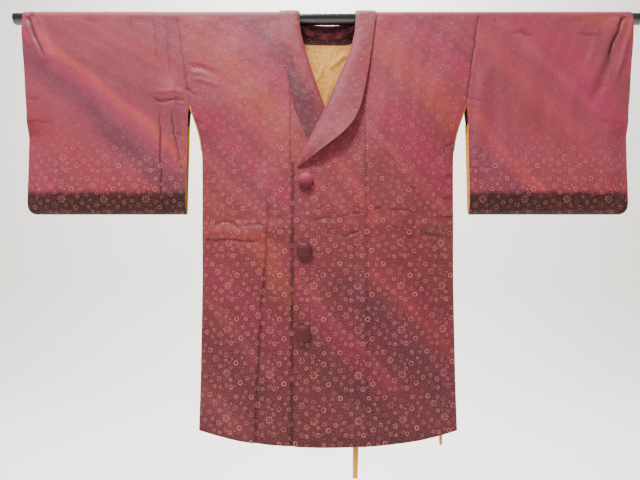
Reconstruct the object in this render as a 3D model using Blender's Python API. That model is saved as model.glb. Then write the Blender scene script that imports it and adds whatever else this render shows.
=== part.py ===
"""A women's kimono coat with a shawl collar, hung on a rod through both sleeves.

Metres, +Z up. The coat faces -Y, and the wearer's left is +X. The origin is the middle of the rod.
Every cloth piece is cut flat, as a maker cuts it, and then laid over the rod: a place on the cloth is
an x across the coat and a length along the cloth, 0 on top of the rod, below 0 in front and above 0 behind.
Pieces of the wearer's right side use the same words, with x counted towards the right.
"""

import math

import bmesh
import bpy
from mathutils import Vector

# %% Sizes of the rod and the cloth
ROD_RADIUS = 0.0125
ROD_LENGTH = 1.36
ROD_SIDES = 24
CLOTH = 0.0016
LINING = 0.0010
SEAM_GAP = 0.0003
LAYER_GAP = 0.0004
LINING_GAP = 0.0007
TIE_GAP = 0.0008
FOLD_RADIUS = ROD_RADIUS + 0.0008
QUARTER = FOLD_RADIUS * math.pi / 2

# %% Sizes of the coat
SHOULDER = 0.3245
ARMHOLE_DEPTH = 0.190
ARMHOLE_FOOT = 0.2945
FRONT_HEM = 0.892
BACK_HEM = 0.877
HEM_RISE_AT_SIDES = 0.021
BACK_HEM_RISE_AT_SIDES = 0.006
OVERLAP_SEAM = 0.078
OVERLAP_SLANT_STARTS = 0.140
OVERLAP_TIP = 0.070
OVERLAP_TIP_WIDTH = 0.003
FRONT_EDGE = -0.066
NECK_HALF_WIDTH = 0.066
NECK_BACK_DROP = 0.054
ROLL_HALF_WIDTH = 0.060
ROLL_BACK_DROP = 0.007
COLLAR_HALF_WIDTH = 0.104
COLLAR_BACK_DROP = 0.064
COLLAR_STAND = NECK_HALF_WIDTH - ROLL_HALF_WIDTH

# %% Sizes of the sleeves
SLEEVE_DROP = 0.429
SLEEVE_INNER_EDGE = 0.297
SLEEVE_CORNER = 0.022
SLEEVE_TURN_HEIGHT = 0.044
SLEEVE_BACK_TURN_HEIGHT = 0.009
SLEEVE_TURN_MIDDLE = 0.0015
WRIST_OPENING = 0.235
WRIST_SEAM_REACH = 0.045
EDGING_WIDTH = 0.022
LINING_HEM = 0.018
LINING_TOP = 0.014
EDGING_SHOWS = 0.0012

# %% Sizes of the trimmings
BUTTON_RADIUS = 0.0165
BUTTON_HEIGHT = 0.0105
BUTTON_SHANK_RADIUS = 0.0035
BUTTON_SHANK = 0.0016
BUTTON_SIDES = 20
BUTTONS = (
    # name, x, z
    ("button_top", -0.0450, -0.3640),
    ("button_middle", -0.0475, -0.5070),
    ("button_low", -0.0498, -0.6720),
)

# %% Outlines, each a table of (z, x)
SIDE_SEAM = (
    (-0.900, 0.2625),
    (-0.750, 0.2610),
    (-0.600, 0.2610),
    (-0.460, 0.2635),
    (-0.400, 0.2645),
    (-0.315, 0.2665),
    (-0.280, 0.2690),
    (-0.190, 0.2943),
)
SLEEVE_OUTER_EDGE = (
    (-0.430, 0.6340),
    (-0.350, 0.6345),
    (-0.280, 0.6360),
    (-0.220, 0.6375),
    (-0.166, 0.6430),
    (-0.100, 0.6490),
    (-0.034, 0.6555),
    (0.000, 0.6560),
)
ROLL_LINE = {
    "left": (
        (-0.335, -0.0660),
        (-0.323, -0.0630),
        (-0.271, -0.0370),
        (-0.208, -0.0060),
        (-0.134, 0.0250),
        (-0.070, 0.0500),
        (-0.030, 0.0580),
        (0.000, 0.0600),
    ),
    "right": (
        (-0.335, -0.0660),
        (-0.323, -0.0610),
        (-0.271, -0.0260),
        (-0.207, 0.0040),
        (-0.143, 0.0270),
        (-0.068, 0.0500),
        (-0.030, 0.0580),
        (0.000, 0.0600),
    ),
}
COLLAR_OUTER_EDGE = {
    "left": (
        (-0.335, -0.0590),
        (-0.302, -0.0160),
        (-0.261, 0.0350),
        (-0.235, 0.0550),
        (-0.198, 0.0700),
        (-0.113, 0.0870),
        (-0.010, 0.1025),
        (0.000, 0.1040),
    ),
    "right": (
        (-0.335, -0.0590),
        (-0.318, -0.0200),
        (-0.284, 0.0350),
        (-0.234, 0.0580),
        (-0.175, 0.0780),
        (-0.089, 0.0930),
        (-0.007, 0.1030),
        (0.000, 0.1040),
    ),
}

# %% How far the cloth stands out from the rod's axis, each a table of (z, distance)
FRONT_MIDDLE = (
    (-0.900, 0.0400),
    (-0.650, 0.0395),
    (-0.450, 0.0375),
    (-0.300, 0.0325),
    (-0.200, 0.0265),
    (-0.100, 0.0190),
    (0.000, FOLD_RADIUS),
)
FRONT_SIDE = (
    (-0.320, SEAM_GAP / 2),
    (-0.280, 0.0022),
    (-0.190, 0.0110),
    (-0.100, 0.0125),
    (0.000, FOLD_RADIUS),
)
BACK_MIDDLE = (
    (-0.900, 0.0185),
    (-0.600, 0.0180),
    (-0.300, 0.0160),
    (-0.100, 0.0142),
    (0.000, FOLD_RADIUS),
)
BACK_SIDE = (
    (-0.320, SEAM_GAP / 2),
    (-0.280, 0.0022),
    (-0.190, 0.0090),
    (-0.100, 0.0110),
    (0.000, FOLD_RADIUS),
)
SLEEVE_FRONT = (
    (-0.385, 0.0110),
    (-0.280, 0.0105),
    (-0.190, 0.0110),
    (-0.100, 0.0125),
    (0.000, FOLD_RADIUS),
)
SLEEVE_BACK = (
    (-0.430, 0.0055),
    (-0.300, 0.0070),
    (-0.190, 0.0090),
    (-0.100, 0.0110),
    (0.000, FOLD_RADIUS),
)
BELLY_POWER = 2.2

# The right front lies under the left one, and sinks by this much near the middle, a table of (z, depth)
RIGHT_FRONT_SINK = (
    (-0.900, 0.0024),
    (-0.450, 0.0024),
    (-0.360, 0.0056),
    (-0.200, 0.0056),
    (-0.060, 0.0000),
    (0.000, 0.0000),
)
SINK_STARTS = -0.200
SINK_FULL = -0.085

# How far each collar half's outer edge stands up from the front under it, a table of (z, height)
COLLAR_LIFT = {
    "left": (
        (-0.335, 0.0010),
        (-0.302, 0.0110),
        (-0.261, 0.0150),
        (-0.198, 0.0090),
        (-0.113, 0.0040),
        (0.000, 0.0006),
    ),
    "right": (
        (-0.335, 0.0000),
        (-0.250, 0.0000),
        (-0.175, 0.0035),
        (-0.089, 0.0030),
        (0.000, 0.0006),
    ),
}

# Where the linings stop beside the side seams, a table of (z, share of the half width)
LINING_REACH = (
    (-0.900, 0.940),
    (-0.340, 0.940),
    (-0.270, 0.975),
    (-0.190, 0.985),
    (0.000, 0.985),
)

# The largest folds, all raised: side, x and z of both ends, how far the rise fades to each side, height
FOLDS = (
    ("right", 0.122, -0.382, 0.149, -0.890, 0.070, 0.012, 0.0034),
    ("right", 0.080, -0.466, 0.262, -0.466, 0.030, 0.030, 0.0032),
    ("left", 0.190, -0.450, 0.262, -0.470, 0.024, 0.024, 0.0030),
    ("left", 0.090, -0.455, 0.150, -0.450, 0.022, 0.022, 0.0022),
)
SLEEVE_FOLDS = (
    ("right", 0.333, -0.150, 0.309, -0.345, 0.055, 0.012, 0.0038),
    ("right", 0.602, -0.099, 0.640, -0.020, 0.026, 0.026, 0.0034),
    ("left", 0.560, -0.150, 0.620, -0.010, 0.034, 0.034, 0.0044),
    ("left", 0.330, -0.120, 0.312, -0.330, 0.030, 0.016, 0.0026),
)


# %% Reading the tables
def read(table, place):
    """The value at a place, by a smooth curve through the rows that goes past none of them."""
    if place <= table[0][0]:
        return table[0][1]
    if place >= table[-1][0]:
        return table[-1][1]
    row = max(index for index, entry in enumerate(table) if entry[0] <= place)
    low, high = table[row], table[row + 1]
    reach = high[0] - low[0]
    slope = (high[1] - low[1]) / reach
    share = (place - low[0]) / reach
    starts = gentle_slope(table, row, slope) * reach
    ends = gentle_slope(table, row + 1, slope) * reach
    rise = high[1] - low[1]
    return (
        low[1]
        + starts * share
        + (3 * rise - 2 * starts - ends) * share**2
        + (starts + ends - 2 * rise) * share**3
    )


def gentle_slope(table, row, slope):
    """The slope at a row: the mean of both sides, held down so that the curve stays between the rows."""
    if row in (0, len(table) - 1):
        return slope
    before = (table[row][1] - table[row - 1][1]) / (table[row][0] - table[row - 1][0])
    after = (table[row + 1][1] - table[row][1]) / (table[row + 1][0] - table[row][0])
    if before * after <= 0:
        return 0.0
    return 2 * before * after / (before + after)


def ramp(value, start, end):
    """0 before the start, 1 after the end, and a soft rise between them."""
    share = min(1.0, max(0.0, (value - start) / (end - start)))
    return share * share * (3 - 2 * share)


def blend(start, end, share):
    return start + (end - start) * share


# %% The hung cloth
def half_width(z):
    """The body's half width: the armhole seam's straight line, then the slit and the side seam."""
    if z >= -ARMHOLE_DEPTH:
        share = min(0.0, z) / -ARMHOLE_DEPTH
        return blend(SHOULDER, ARMHOLE_FOOT, share) - SEAM_GAP / 2
    return read(SIDE_SEAM, z)


def belly(x, z, middle, side):
    """How far a body panel stands out from the rod's axis: most in the middle, least at the side."""
    share = min(1.0, abs(x) / half_width(z))
    edge = read(side, z)
    return edge + (read(middle, z) - edge) * (1 - share**BELLY_POWER)


def fold_height(folds, side, x, z):
    """The height of the largest folds at a place, each fading by its own width on either side of its line."""
    height = 0.0
    for owner, x0, z0, x1, z1, fade_outward, fade_inward, rise in folds:
        if owner != side:
            continue
        along = Vector((x1 - x0, z1 - z0))
        away = Vector((x - x0, z - z0))
        share = away.dot(along) / along.length_squared
        ends = ramp(share, -0.15, 0.12) * (1 - ramp(share, 0.95, 1.15))
        across = (away.x * along.y - away.y * along.x) / along.length
        fade = fade_inward if across > 0 else fade_outward
        height = max(height, rise * ends * (1 - ramp(abs(across), 0.0, fade)))
    return height


def sink(side, x, z):
    """How far the right front lies below the left one."""
    if side == "left":
        return 0.0
    return read(RIGHT_FRONT_SINK, z) * ramp(-x, SINK_STARTS, SINK_FULL)


def hang(side, x, length, out):
    """A place on the cloth, laid over the rod: x from the middle, the length along it, the distance out."""
    sign = 1 if side == "left" else -1
    if length < -QUARTER:
        z = length + QUARTER
        y = -(belly(x, z, FRONT_MIDDLE, FRONT_SIDE) + out - sink(side, x, z))
    elif length > QUARTER:
        z = QUARTER - length
        y = belly(x, z, BACK_MIDDLE, BACK_SIDE) + out
    else:
        turn = length / FOLD_RADIUS
        y = (FOLD_RADIUS + out) * math.sin(turn)
        z = (FOLD_RADIUS + out) * math.cos(turn)
    return Vector((sign * x, y, z))


def height_at(length):
    """The z of a length along the cloth, 0 where it lies on the rod."""
    return min(0.0, QUARTER - abs(length))


def front_hem(x):
    return -FRONT_HEM + HEM_RISE_AT_SIDES * (abs(x) / SIDE_SEAM[0][1]) ** 2.5


def back_hem(x):
    return -BACK_HEM + BACK_HEM_RISE_AT_SIDES * (abs(x) / SIDE_SEAM[0][1]) ** 2.5


# %% Meshes and materials
def material(name, color, roughness, metallic=0.0):
    finish = bpy.data.materials.new(name)
    finish.use_nodes = True
    shader = finish.node_tree.nodes["Principled BSDF"]
    shader.inputs["Base Color"].default_value = (*color, 1.0)
    shader.inputs["Roughness"].default_value = roughness
    shader.inputs["Metallic"].default_value = metallic
    return finish


def add_object(name, mesh, finish):
    """Turns a bmesh into a named object whose faces point out."""
    bmesh.ops.recalc_face_normals(mesh, faces=mesh.faces)
    if mesh.calc_volume(signed=True) < 0:
        bmesh.ops.reverse_faces(mesh, faces=mesh.faces)
    data = bpy.data.meshes.new(name)
    mesh.to_mesh(data)
    mesh.free()
    data.shade_smooth()
    data.set_sharp_from_angle(angle=math.radians(50))
    data.materials.append(finish)
    bpy.context.collection.objects.link(bpy.data.objects.new(name, data))


def add_wall(name, rows, columns, place, finish, tube=False):
    """A closed wall: an outer and an inner sheet of points, joined at the rim. A tube's columns go round."""
    mesh = bmesh.new()
    sheets = [
        [[mesh.verts.new(place(row, column, is_outer)) for column in columns] for row in rows]
        for is_outer in (True, False)
    ]
    outer, inner = sheets
    last_row = len(rows) - 1
    last_column = len(columns) - 1
    steps = [(column, column + 1) for column in range(last_column)]
    if tube:
        steps.append((last_column, 0))
    for sheet in sheets:
        for row in range(last_row):
            for here, there in steps:
                near, far = sheet[row], sheet[row + 1]
                mesh.faces.new((near[here], near[there], far[there], far[here]))
    for row in (0, last_row):
        for here, there in steps:
            mesh.faces.new((outer[row][here], outer[row][there], inner[row][there], inner[row][here]))
    if not tube:
        for column in (0, last_column):
            for row in range(last_row):
                mesh.faces.new(
                    (outer[row][column], outer[row + 1][column], inner[row + 1][column], inner[row][column])
                )
    add_object(name, mesh, finish)


def add_turned(name, profile, sides, origin, axis, finish):
    """A solid turned round an axis from a profile of (radius, height), both ends on the axis."""
    mesh = bmesh.new()
    across = axis.orthogonal().normalized()
    beside = axis.cross(across)
    rings = []
    for radius, height in profile:
        if radius == 0.0:
            rings.append([mesh.verts.new(origin + axis * height)])
            continue
        ring = []
        for side in range(sides):
            turn = 2 * math.pi * side / sides
            ring.append(
                mesh.verts.new(
                    origin + axis * height + (across * math.cos(turn) + beside * math.sin(turn)) * radius
                )
            )
        rings.append(ring)
    for lower, upper in zip(rings, rings[1:]):
        for side in range(sides):
            following = (side + 1) % sides
            corners = [
                lower[side % len(lower)],
                lower[following % len(lower)],
                upper[following % len(upper)],
                upper[side % len(upper)],
            ]
            mesh.faces.new(dict.fromkeys(corners))
    add_object(name, mesh, finish)


# %% Heights where the cloth pieces have their rows of points
UPPER_HEIGHTS = (-0.190, -0.140, -0.105, -0.070, -0.030)
FRONT_HEIGHTS = (
    -0.820, -0.740, -0.660, -0.590, -0.530, -0.496, -0.481, -0.466, -0.451, -0.436, -0.400,
    -0.360, -0.320, -0.280, -0.235,
)  # fmt: skip
BACK_HEIGHTS = (-0.090, -0.140, -0.190, -0.235, -0.280, -0.320, -0.400, -0.500, -0.600, -0.700, -0.790)
ROD_LENGTHS = tuple(QUARTER * share for share in (-1.0, -0.6, -0.2, 0.2, 0.6, 1.0))
NECK_TURNS = tuple(math.radians(angle) for angle in (18, 36, 54, 72, 90))
PANEL_COLUMNS = tuple(share / 9 for share in range(10))
COLLAR_FRONT_HEIGHTS = (
    -0.333, -0.322, -0.305, -0.285, -0.262, -0.235, -0.208, -0.175, -0.140, -0.105, -0.070, -0.030,
)  # fmt: skip


# %% Body panels
def panel_inner_edge(side, length):
    """The x of a body panel's inner edge: the overlap seam, the neckline, then the centre back seam."""
    z = height_at(length)
    if length > QUARTER:
        drop = min(1.0, -z / NECK_BACK_DROP)
        return max(SEAM_GAP / 2, NECK_HALF_WIDTH * math.sqrt(1 - drop * drop))
    if z > -OVERLAP_TIP:
        return read(ROLL_LINE[side], z) + COLLAR_STAND + SEAM_GAP
    return overlap_seam(side, z) + SEAM_GAP


def overlap_seam(side, z):
    """The overlap panel's outer edge: it slants to a tip under the collar."""
    tip = read(ROLL_LINE[side], -OVERLAP_TIP) + COLLAR_STAND + OVERLAP_TIP_WIDTH
    return blend(OVERLAP_SEAM, tip, ramp(z, -OVERLAP_SLANT_STARTS, -OVERLAP_TIP))


def add_body_panel(side, finish):
    rows = [("hem", 0.0)]
    rows += [("front", z - QUARTER) for z in FRONT_HEIGHTS + UPPER_HEIGHTS]
    rows += [("over", length) for length in ROD_LENGTHS]
    rows += [("back", QUARTER + NECK_BACK_DROP * math.sin(turn)) for turn in NECK_TURNS]
    rows += [("back", QUARTER - z) for z in BACK_HEIGHTS]
    rows += [("back hem", 0.0)]

    def place(row, share, is_outer):
        kind, length = row
        out = CLOTH if is_outer else 0.0
        if kind == "hem":
            x = blend(OVERLAP_SEAM + SEAM_GAP, half_width(-FRONT_HEM), share)
            return hang(side, x, front_hem(x) - QUARTER, out + fold_height(FOLDS, side, x, front_hem(x)))
        if kind == "back hem":
            x = blend(SEAM_GAP / 2, half_width(-BACK_HEM), share)
            return hang(side, x, QUARTER - back_hem(x), out)
        z = height_at(length)
        x = blend(panel_inner_edge(side, length), half_width(z), share)
        if kind == "front":
            out += fold_height(FOLDS, side, x, z)
        return hang(side, x, length, out)

    add_wall(f"body_{side}", rows, PANEL_COLUMNS, place, finish)


# %% Overlap panels
def front_edge(side, z):
    """The x of an overlap panel's inner edge: the front edge, then beside the collar's roll line."""
    if z < -0.336:
        return FRONT_EDGE
    return max(FRONT_EDGE, read(ROLL_LINE[side], z) + COLLAR_STAND + SEAM_GAP)


def add_overlap_panel(side, finish):
    heights = FRONT_HEIGHTS[:-4] + (-0.345,) + COLLAR_FRONT_HEIGHTS[:-1]

    def place(z, share, is_outer):
        out = CLOTH if is_outer else 0.0
        if z is None:
            x = blend(FRONT_EDGE, OVERLAP_SEAM, share)
            return hang(side, x, front_hem(x) - QUARTER, out)
        x = blend(front_edge(side, z), overlap_seam(side, z), share)
        return hang(side, x, z - QUARTER, out)

    add_wall(f"overlap_{side}", (None,) + heights, (0.0, 0.25, 0.5, 0.75, 1.0), place, finish)


# %% Shawl collar
FOLD_OUTER = CLOTH + LAYER_GAP / 2
FOLD_INNER = LAYER_GAP / 2


def collar_station(side, kind, value):
    """Where a station's seam, roll and outer edge lie, as (x, length), and its outer edge's lift."""
    if kind == "back":
        fall = math.sin(value)
        reach = max(math.cos(value), 0.0)
        seam = ((NECK_HALF_WIDTH - SEAM_GAP) * reach, QUARTER + (NECK_BACK_DROP - SEAM_GAP) * fall)
        roll = (ROLL_HALF_WIDTH * reach, QUARTER + ROLL_BACK_DROP * fall)
        edge = (COLLAR_HALF_WIDTH * reach, QUARTER + COLLAR_BACK_DROP * fall)
        return seam, roll, edge, 0.0010 * fall + 0.0006
    z = height_at(value)
    roll_x = read(ROLL_LINE[side], z)
    edge_x = read(COLLAR_OUTER_EDGE[side], z)
    stand = min(COLLAR_STAND, 0.7 * (edge_x - roll_x))
    return (roll_x + stand, value), (roll_x, value), (edge_x, value), read(COLLAR_LIFT[side], z)


def add_collar_half(side, finish):
    rows = [("front", z - QUARTER) for z in COLLAR_FRONT_HEIGHTS]
    rows += [("front", length) for length in ROD_LENGTHS]
    rows += [("back", turn) for turn in NECK_TURNS]
    columns = (
        [("stand", share) for share in (1.0, 0.5)]
        + [("turn", math.radians(angle)) for angle in (-90, -30, 30, 90)]
        + [("leaf", share) for share in (0.28, 0.52, 0.76, 1.0)]
    )

    def place(row, column, is_outer):
        seam, roll, edge, lift = collar_station(side, *row)
        kind, value = column
        if kind == "stand":
            start, end, share = roll, seam, value
            out = 0.0 if is_outer else CLOTH
        elif kind == "turn":
            radius = FOLD_OUTER if is_outer else FOLD_INNER
            width = math.dist(roll, edge)
            start, end = roll, edge
            share = (FOLD_OUTER - radius * math.cos(value)) / width
            out = FOLD_OUTER + radius * math.sin(value)
        else:
            start, end, share = roll, edge, value
            out = CLOTH + LAYER_GAP + lift * value**1.6
            if is_outer:
                out += CLOTH
        x = blend(start[0], end[0], share)
        if row[0] == "back":
            x = max(x, SEAM_GAP / 2)
        return hang(side, x, blend(start[1], end[1], share), out)

    add_wall(f"collar_{side}", rows, columns, place, finish)


# %% Sleeves
SLEEVE_SHARES = (0.0, 0.05, 0.11, 0.19, 0.29, 0.40, 0.51, 0.62, 0.73, 0.82, 0.89)
SLEEVE_END_DISTANCES = (0.022, 0.009, 0.003, 0.0)
SLEEVE_FRONT_HEIGHTS = (-0.385, -0.330, -0.280, -0.235, -0.190, -0.140, -0.090, -0.040)
SLEEVE_BACK_HEIGHTS = SLEEVE_FRONT_HEIGHTS[::-1] + (-0.420,)
SLEEVE_LOOP = (
    [("front turn", math.radians(angle)) for angle in (90, 60, 35, 15)]
    + [("front", z) for z in SLEEVE_FRONT_HEIGHTS]
    + [("over", math.radians(angle)) for angle in (-90, -54, -18, 18, 54, 90)]
    + [("back", z) for z in SLEEVE_BACK_HEIGHTS]
    + [("back turn", math.radians(45))]
)


def sleeve_inner_edge(z):
    """The armhole seam, and below it the free inner edge."""
    if z >= -ARMHOLE_DEPTH:
        return blend(SHOULDER, ARMHOLE_FOOT, min(0.0, z) / -ARMHOLE_DEPTH) + SEAM_GAP / 2
    return blend(ARMHOLE_FOOT, SLEEVE_INNER_EDGE, ramp(-z, ARMHOLE_DEPTH, WRIST_OPENING)) + SEAM_GAP / 2


def sleeve_place(side, station, spot, out, folds):
    """A place on a sleeve: the station along the arm, the spot round the bag, and the distance out."""
    sign = 1 if side == "left" else -1
    kind, value = spot
    by_share, amount = station
    end_distance = amount if not by_share else (1 - amount) * (SLEEVE_OUTER_EDGE[0][1] - SLEEVE_INNER_EDGE)
    near_end = max(0.0, SLEEVE_CORNER - end_distance)
    bottom = -SLEEVE_DROP + CLOTH + SLEEVE_CORNER - math.sqrt(SLEEVE_CORNER**2 - near_end**2)
    stretch = (bottom + SLEEVE_TURN_HEIGHT) / (CLOTH + SLEEVE_TURN_HEIGHT - SLEEVE_DROP)
    front_foot = bottom + SLEEVE_TURN_HEIGHT
    back_foot = bottom + SLEEVE_BACK_TURN_HEIGHT
    if kind == "over":
        y = (FOLD_RADIUS + out) * math.sin(value)
        z = (FOLD_RADIUS + out) * math.cos(value)
        level = 0.0
    elif kind == "front turn":
        z = front_foot - (SLEEVE_TURN_HEIGHT + out) * math.sin(value)
        level = z
    elif kind == "back turn":
        z = back_foot - (SLEEVE_BACK_TURN_HEIGHT + out) * math.sin(value)
        level = z
    else:
        z = max(value * stretch, front_foot if kind == "front" else back_foot)
        level = z
    inner = sleeve_inner_edge(level)
    outer = read(SLEEVE_OUTER_EDGE, level)
    x = blend(inner, outer, amount) if by_share else outer - amount
    near_wrist = ramp(x, outer - WRIST_SEAM_REACH, outer - 0.004)
    closed = near_wrist * ramp(-level, WRIST_OPENING - 0.010, WRIST_OPENING + 0.035)
    middle = SLEEVE_TURN_MIDDLE * (1 - closed)
    if kind in ("front", "front turn"):
        front = blend(read(SLEEVE_FRONT, level), SEAM_GAP, closed)
        front += fold_height(folds, side, x, level) * (1 - closed)
        y = -(front + out)
        if kind == "front turn":
            y = middle - (middle + front + out) * math.cos(value)
    elif kind in ("back", "back turn"):
        back = blend(read(SLEEVE_BACK, level), SEAM_GAP, closed)
        y = back + out
        if kind == "back turn":
            y = middle + (back - middle + out) * math.cos(value)
    return Vector((sign * x, y, z))


def add_sleeve(side, finish):
    stations = [(True, share) for share in SLEEVE_SHARES]
    stations += [(False, distance) for distance in SLEEVE_END_DISTANCES]

    def place(station, spot, is_outer):
        return sleeve_place(side, station, spot, CLOTH if is_outer else 0.0, SLEEVE_FOLDS)

    add_wall(f"sleeve_{side}", stations, SLEEVE_LOOP, place, finish, tube=True)


def add_sleeve_edging(side, finish):
    """The lining's band inside the sleeve's free inner edge, from below the armhole, round the bottom."""
    loop = [spot for spot in SLEEVE_LOOP if spot[0] == "front" and spot[1] <= -0.235][::-1]
    loop += [spot for spot in SLEEVE_LOOP if spot[0] == "front turn"][::-1]
    loop += [spot for spot in SLEEVE_LOOP if spot[0] == "back turn"]
    loop += [spot for spot in SLEEVE_LOOP if spot[0] == "back" and spot[1] <= -0.235][::-1]
    length = SLEEVE_OUTER_EDGE[0][1] - SLEEVE_INNER_EDGE
    stations = [(True, -EDGING_SHOWS / length), (True, EDGING_WIDTH / length)]

    def place(station, spot, is_outer):
        out = -LINING_GAP if is_outer else -LINING_GAP - LINING
        return sleeve_place(side, station, spot, out, ())

    add_wall(f"sleeve_edging_{side}", stations, loop, place, finish)


# %% Lining
def add_back_lining(side, finish):
    """The back's lining: it starts at the neckline, where it shows, and ends above the hem."""
    columns = (0.0, 0.08, 0.16, 0.24, 0.36, 0.52, 0.68, 0.84, 1.0)
    rows = [("neck", share) for share in (0.0, 0.35, 0.7)]
    rows += [("level", z) for z in BACK_HEIGHTS + (LINING_HEM - BACK_HEM,)]

    def place(row, column, is_outer):
        kind, z = row
        if kind == "neck":
            near_x = column * half_width(-ARMHOLE_DEPTH)
            drop = 1 - min(1.0, near_x / NECK_HALF_WIDTH) ** 2
            top = -max(LINING_TOP, (NECK_BACK_DROP + 0.001) * math.sqrt(drop))
            z = blend(top, BACK_HEIGHTS[0], row[1])
        x = blend(SEAM_GAP / 2, half_width(z) * read(LINING_REACH, z), column)
        out = -LINING_GAP if is_outer else -LINING_GAP - LINING
        return hang(side, x, QUARTER - z, out)

    add_wall(f"lining_back_{side}", rows, columns, place, finish)


def add_front_lining(side, finish):
    """A front's lining, from below the shoulder to above the hem."""
    columns = (0.0, 0.15, 0.3, 0.45, 0.6, 0.75, 0.88, 1.0)
    heights = (LINING_HEM - FRONT_HEM + HEM_RISE_AT_SIDES / 3,) + FRONT_HEIGHTS[::2] + FRONT_HEIGHTS[-1:]
    heights = sorted(set(heights + FRONT_HEIGHTS[-4:] + UPPER_HEIGHTS + (-LINING_TOP,)))

    def place(z, column, is_outer):
        start = max(OVERLAP_SEAM, overlap_seam(side, z)) + 0.002
        x = blend(start, half_width(z) * read(LINING_REACH, z), column)
        out = -LINING_GAP if is_outer else -LINING_GAP - LINING
        return hang(side, x, z - QUARTER, out)

    add_wall(f"lining_front_{side}", heights, columns, place, finish)


# %% Ties, buttons and rod
TIES = (
    # name, side, x, width, top z, end z, depth of the layers in front of it
    ("tie_centre", "right", -0.053, 0.011, -0.420, -0.953, 0.0),
    ("tie_side", "left", 0.228, 0.007, -0.400, -0.898, LINING + LINING_GAP),
)


def add_tie(name, side, x, width, top, end, covered, finish):
    """A tape of lining cloth that hangs straight down inside the front."""
    steps = 8
    far_edge = abs(x) + width / 2 if side == "left" else x
    front = -hang(side, far_edge, top - QUARTER, -covered - TIE_GAP).y
    sign = 1 if side == "left" else -1

    def place(row, column, is_outer):
        z = blend(top, end, row / steps)
        y = -front if is_outer else -front + LINING
        return Vector((sign * x + column * width / 2, y, z))

    add_wall(name, range(steps + 1), (-1.0, 1.0), place, finish)


def add_button(name, x, z, finish):
    """A domed, covered button on its shank, square to the cloth under it."""
    here = hang("left", x, z - QUARTER, CLOTH + LAYER_GAP)
    step = 0.004
    along_x = hang("left", x + step, z - QUARTER, CLOTH + LAYER_GAP) - here
    along_z = hang("left", x, z + step - QUARTER, CLOTH + LAYER_GAP) - here
    outward = along_x.cross(along_z).normalized()
    dome = BUTTON_HEIGHT - BUTTON_SHANK - 0.0035
    profile = [
        (0.0, 0.0),
        (BUTTON_SHANK_RADIUS, 0.0),
        (BUTTON_SHANK_RADIUS, BUTTON_SHANK),
        (BUTTON_RADIUS - 0.0025, BUTTON_SHANK),
        (BUTTON_RADIUS, BUTTON_SHANK + 0.0022),
    ]
    for angle in (22, 45, 68):
        turn = math.radians(angle)
        profile.append((BUTTON_RADIUS * math.cos(turn), BUTTON_SHANK + 0.0035 + dome * math.sin(turn)))
    profile.append((0.0, BUTTON_HEIGHT))
    add_turned(name, profile, BUTTON_SIDES, here, outward, finish)


def add_rod(finish):
    half = ROD_LENGTH / 2
    profile = [(0.0, -half), (ROD_RADIUS, -half), (ROD_RADIUS, half), (0.0, half)]
    add_turned("rod", profile, ROD_SIDES, Vector((0.0, 0.0, 0.0)), Vector((1.0, 0.0, 0.0)), finish)


# %% The whole coat
def main():
    for thing in list(bpy.data.objects):
        bpy.data.objects.remove(thing)
    silk = material("figured silk", (0.28, 0.050, 0.078), 0.42)
    lining = material("lining silk", (0.66, 0.46, 0.14), 0.55)
    black = material("black paint", (0.006, 0.006, 0.007), 0.18)
    for side in ("left", "right"):
        add_body_panel(side, silk)
        add_overlap_panel(side, silk)
        add_collar_half(side, silk)
        add_sleeve(side, silk)
        add_back_lining(side, lining)
        add_front_lining(side, lining)
        add_sleeve_edging(side, lining)
    for name, x, z in BUTTONS:
        add_button(name, x, z, silk)
    for row in TIES:
        add_tie(*row, lining)
    add_rod(black)


main()
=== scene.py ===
# %% [markdown]
# This lesson dresses a CAD model of a women's kimono coat, which hangs on a black rod through both sleeves.
# The CAD bodies are loaded first and never moved. Each cloth piece is then made again as a thin closed wall
# on the same form, with many more points, so that it can carry the creases and the dyed colours of the silk.

# %% Load the CAD model
import math

import bmesh
import bpy
import numpy as np
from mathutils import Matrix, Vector


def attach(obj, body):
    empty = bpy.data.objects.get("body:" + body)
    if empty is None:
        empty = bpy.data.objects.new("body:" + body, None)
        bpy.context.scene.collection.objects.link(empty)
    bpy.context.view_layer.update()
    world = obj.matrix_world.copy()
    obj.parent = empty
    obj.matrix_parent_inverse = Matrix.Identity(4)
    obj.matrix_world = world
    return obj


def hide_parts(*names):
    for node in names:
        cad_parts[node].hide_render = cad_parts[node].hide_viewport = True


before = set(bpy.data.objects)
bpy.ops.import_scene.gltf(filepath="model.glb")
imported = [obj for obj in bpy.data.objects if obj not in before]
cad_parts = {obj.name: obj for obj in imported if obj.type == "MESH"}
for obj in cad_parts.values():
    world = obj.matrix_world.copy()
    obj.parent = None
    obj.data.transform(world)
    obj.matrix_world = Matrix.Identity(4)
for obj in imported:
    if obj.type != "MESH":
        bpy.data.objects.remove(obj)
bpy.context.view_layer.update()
print("CAD nodes:", len(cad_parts))

# %% [markdown]
# A place on the cloth is given as a maker gives it: an x across the coat and a length along the cloth,
# 0 on top of the rod, below 0 in front and above 0 behind. The sizes are those of the CAD model, in metres.
# The wearer's left is +X, and pieces of the wearer's right use the same words with x counted to the right.

# %% Sizes of the rod and the cloth
ROD_RADIUS = 0.0125
ROD_LENGTH = 1.36
CLOTH = 0.0016
LINING = 0.0010
SEAM_GAP = 0.0003
SEAM_SHOWS = 0.00003
LAYER_GAP = 0.0004
LINING_GAP = 0.0007
TIE_GAP = 0.0008
FOLD_RADIUS = ROD_RADIUS + 0.0008
QUARTER = FOLD_RADIUS * math.pi / 2
SIGN = {"left": 1.0, "right": -1.0}
OTHER = {"left": "right", "right": "left"}

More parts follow.
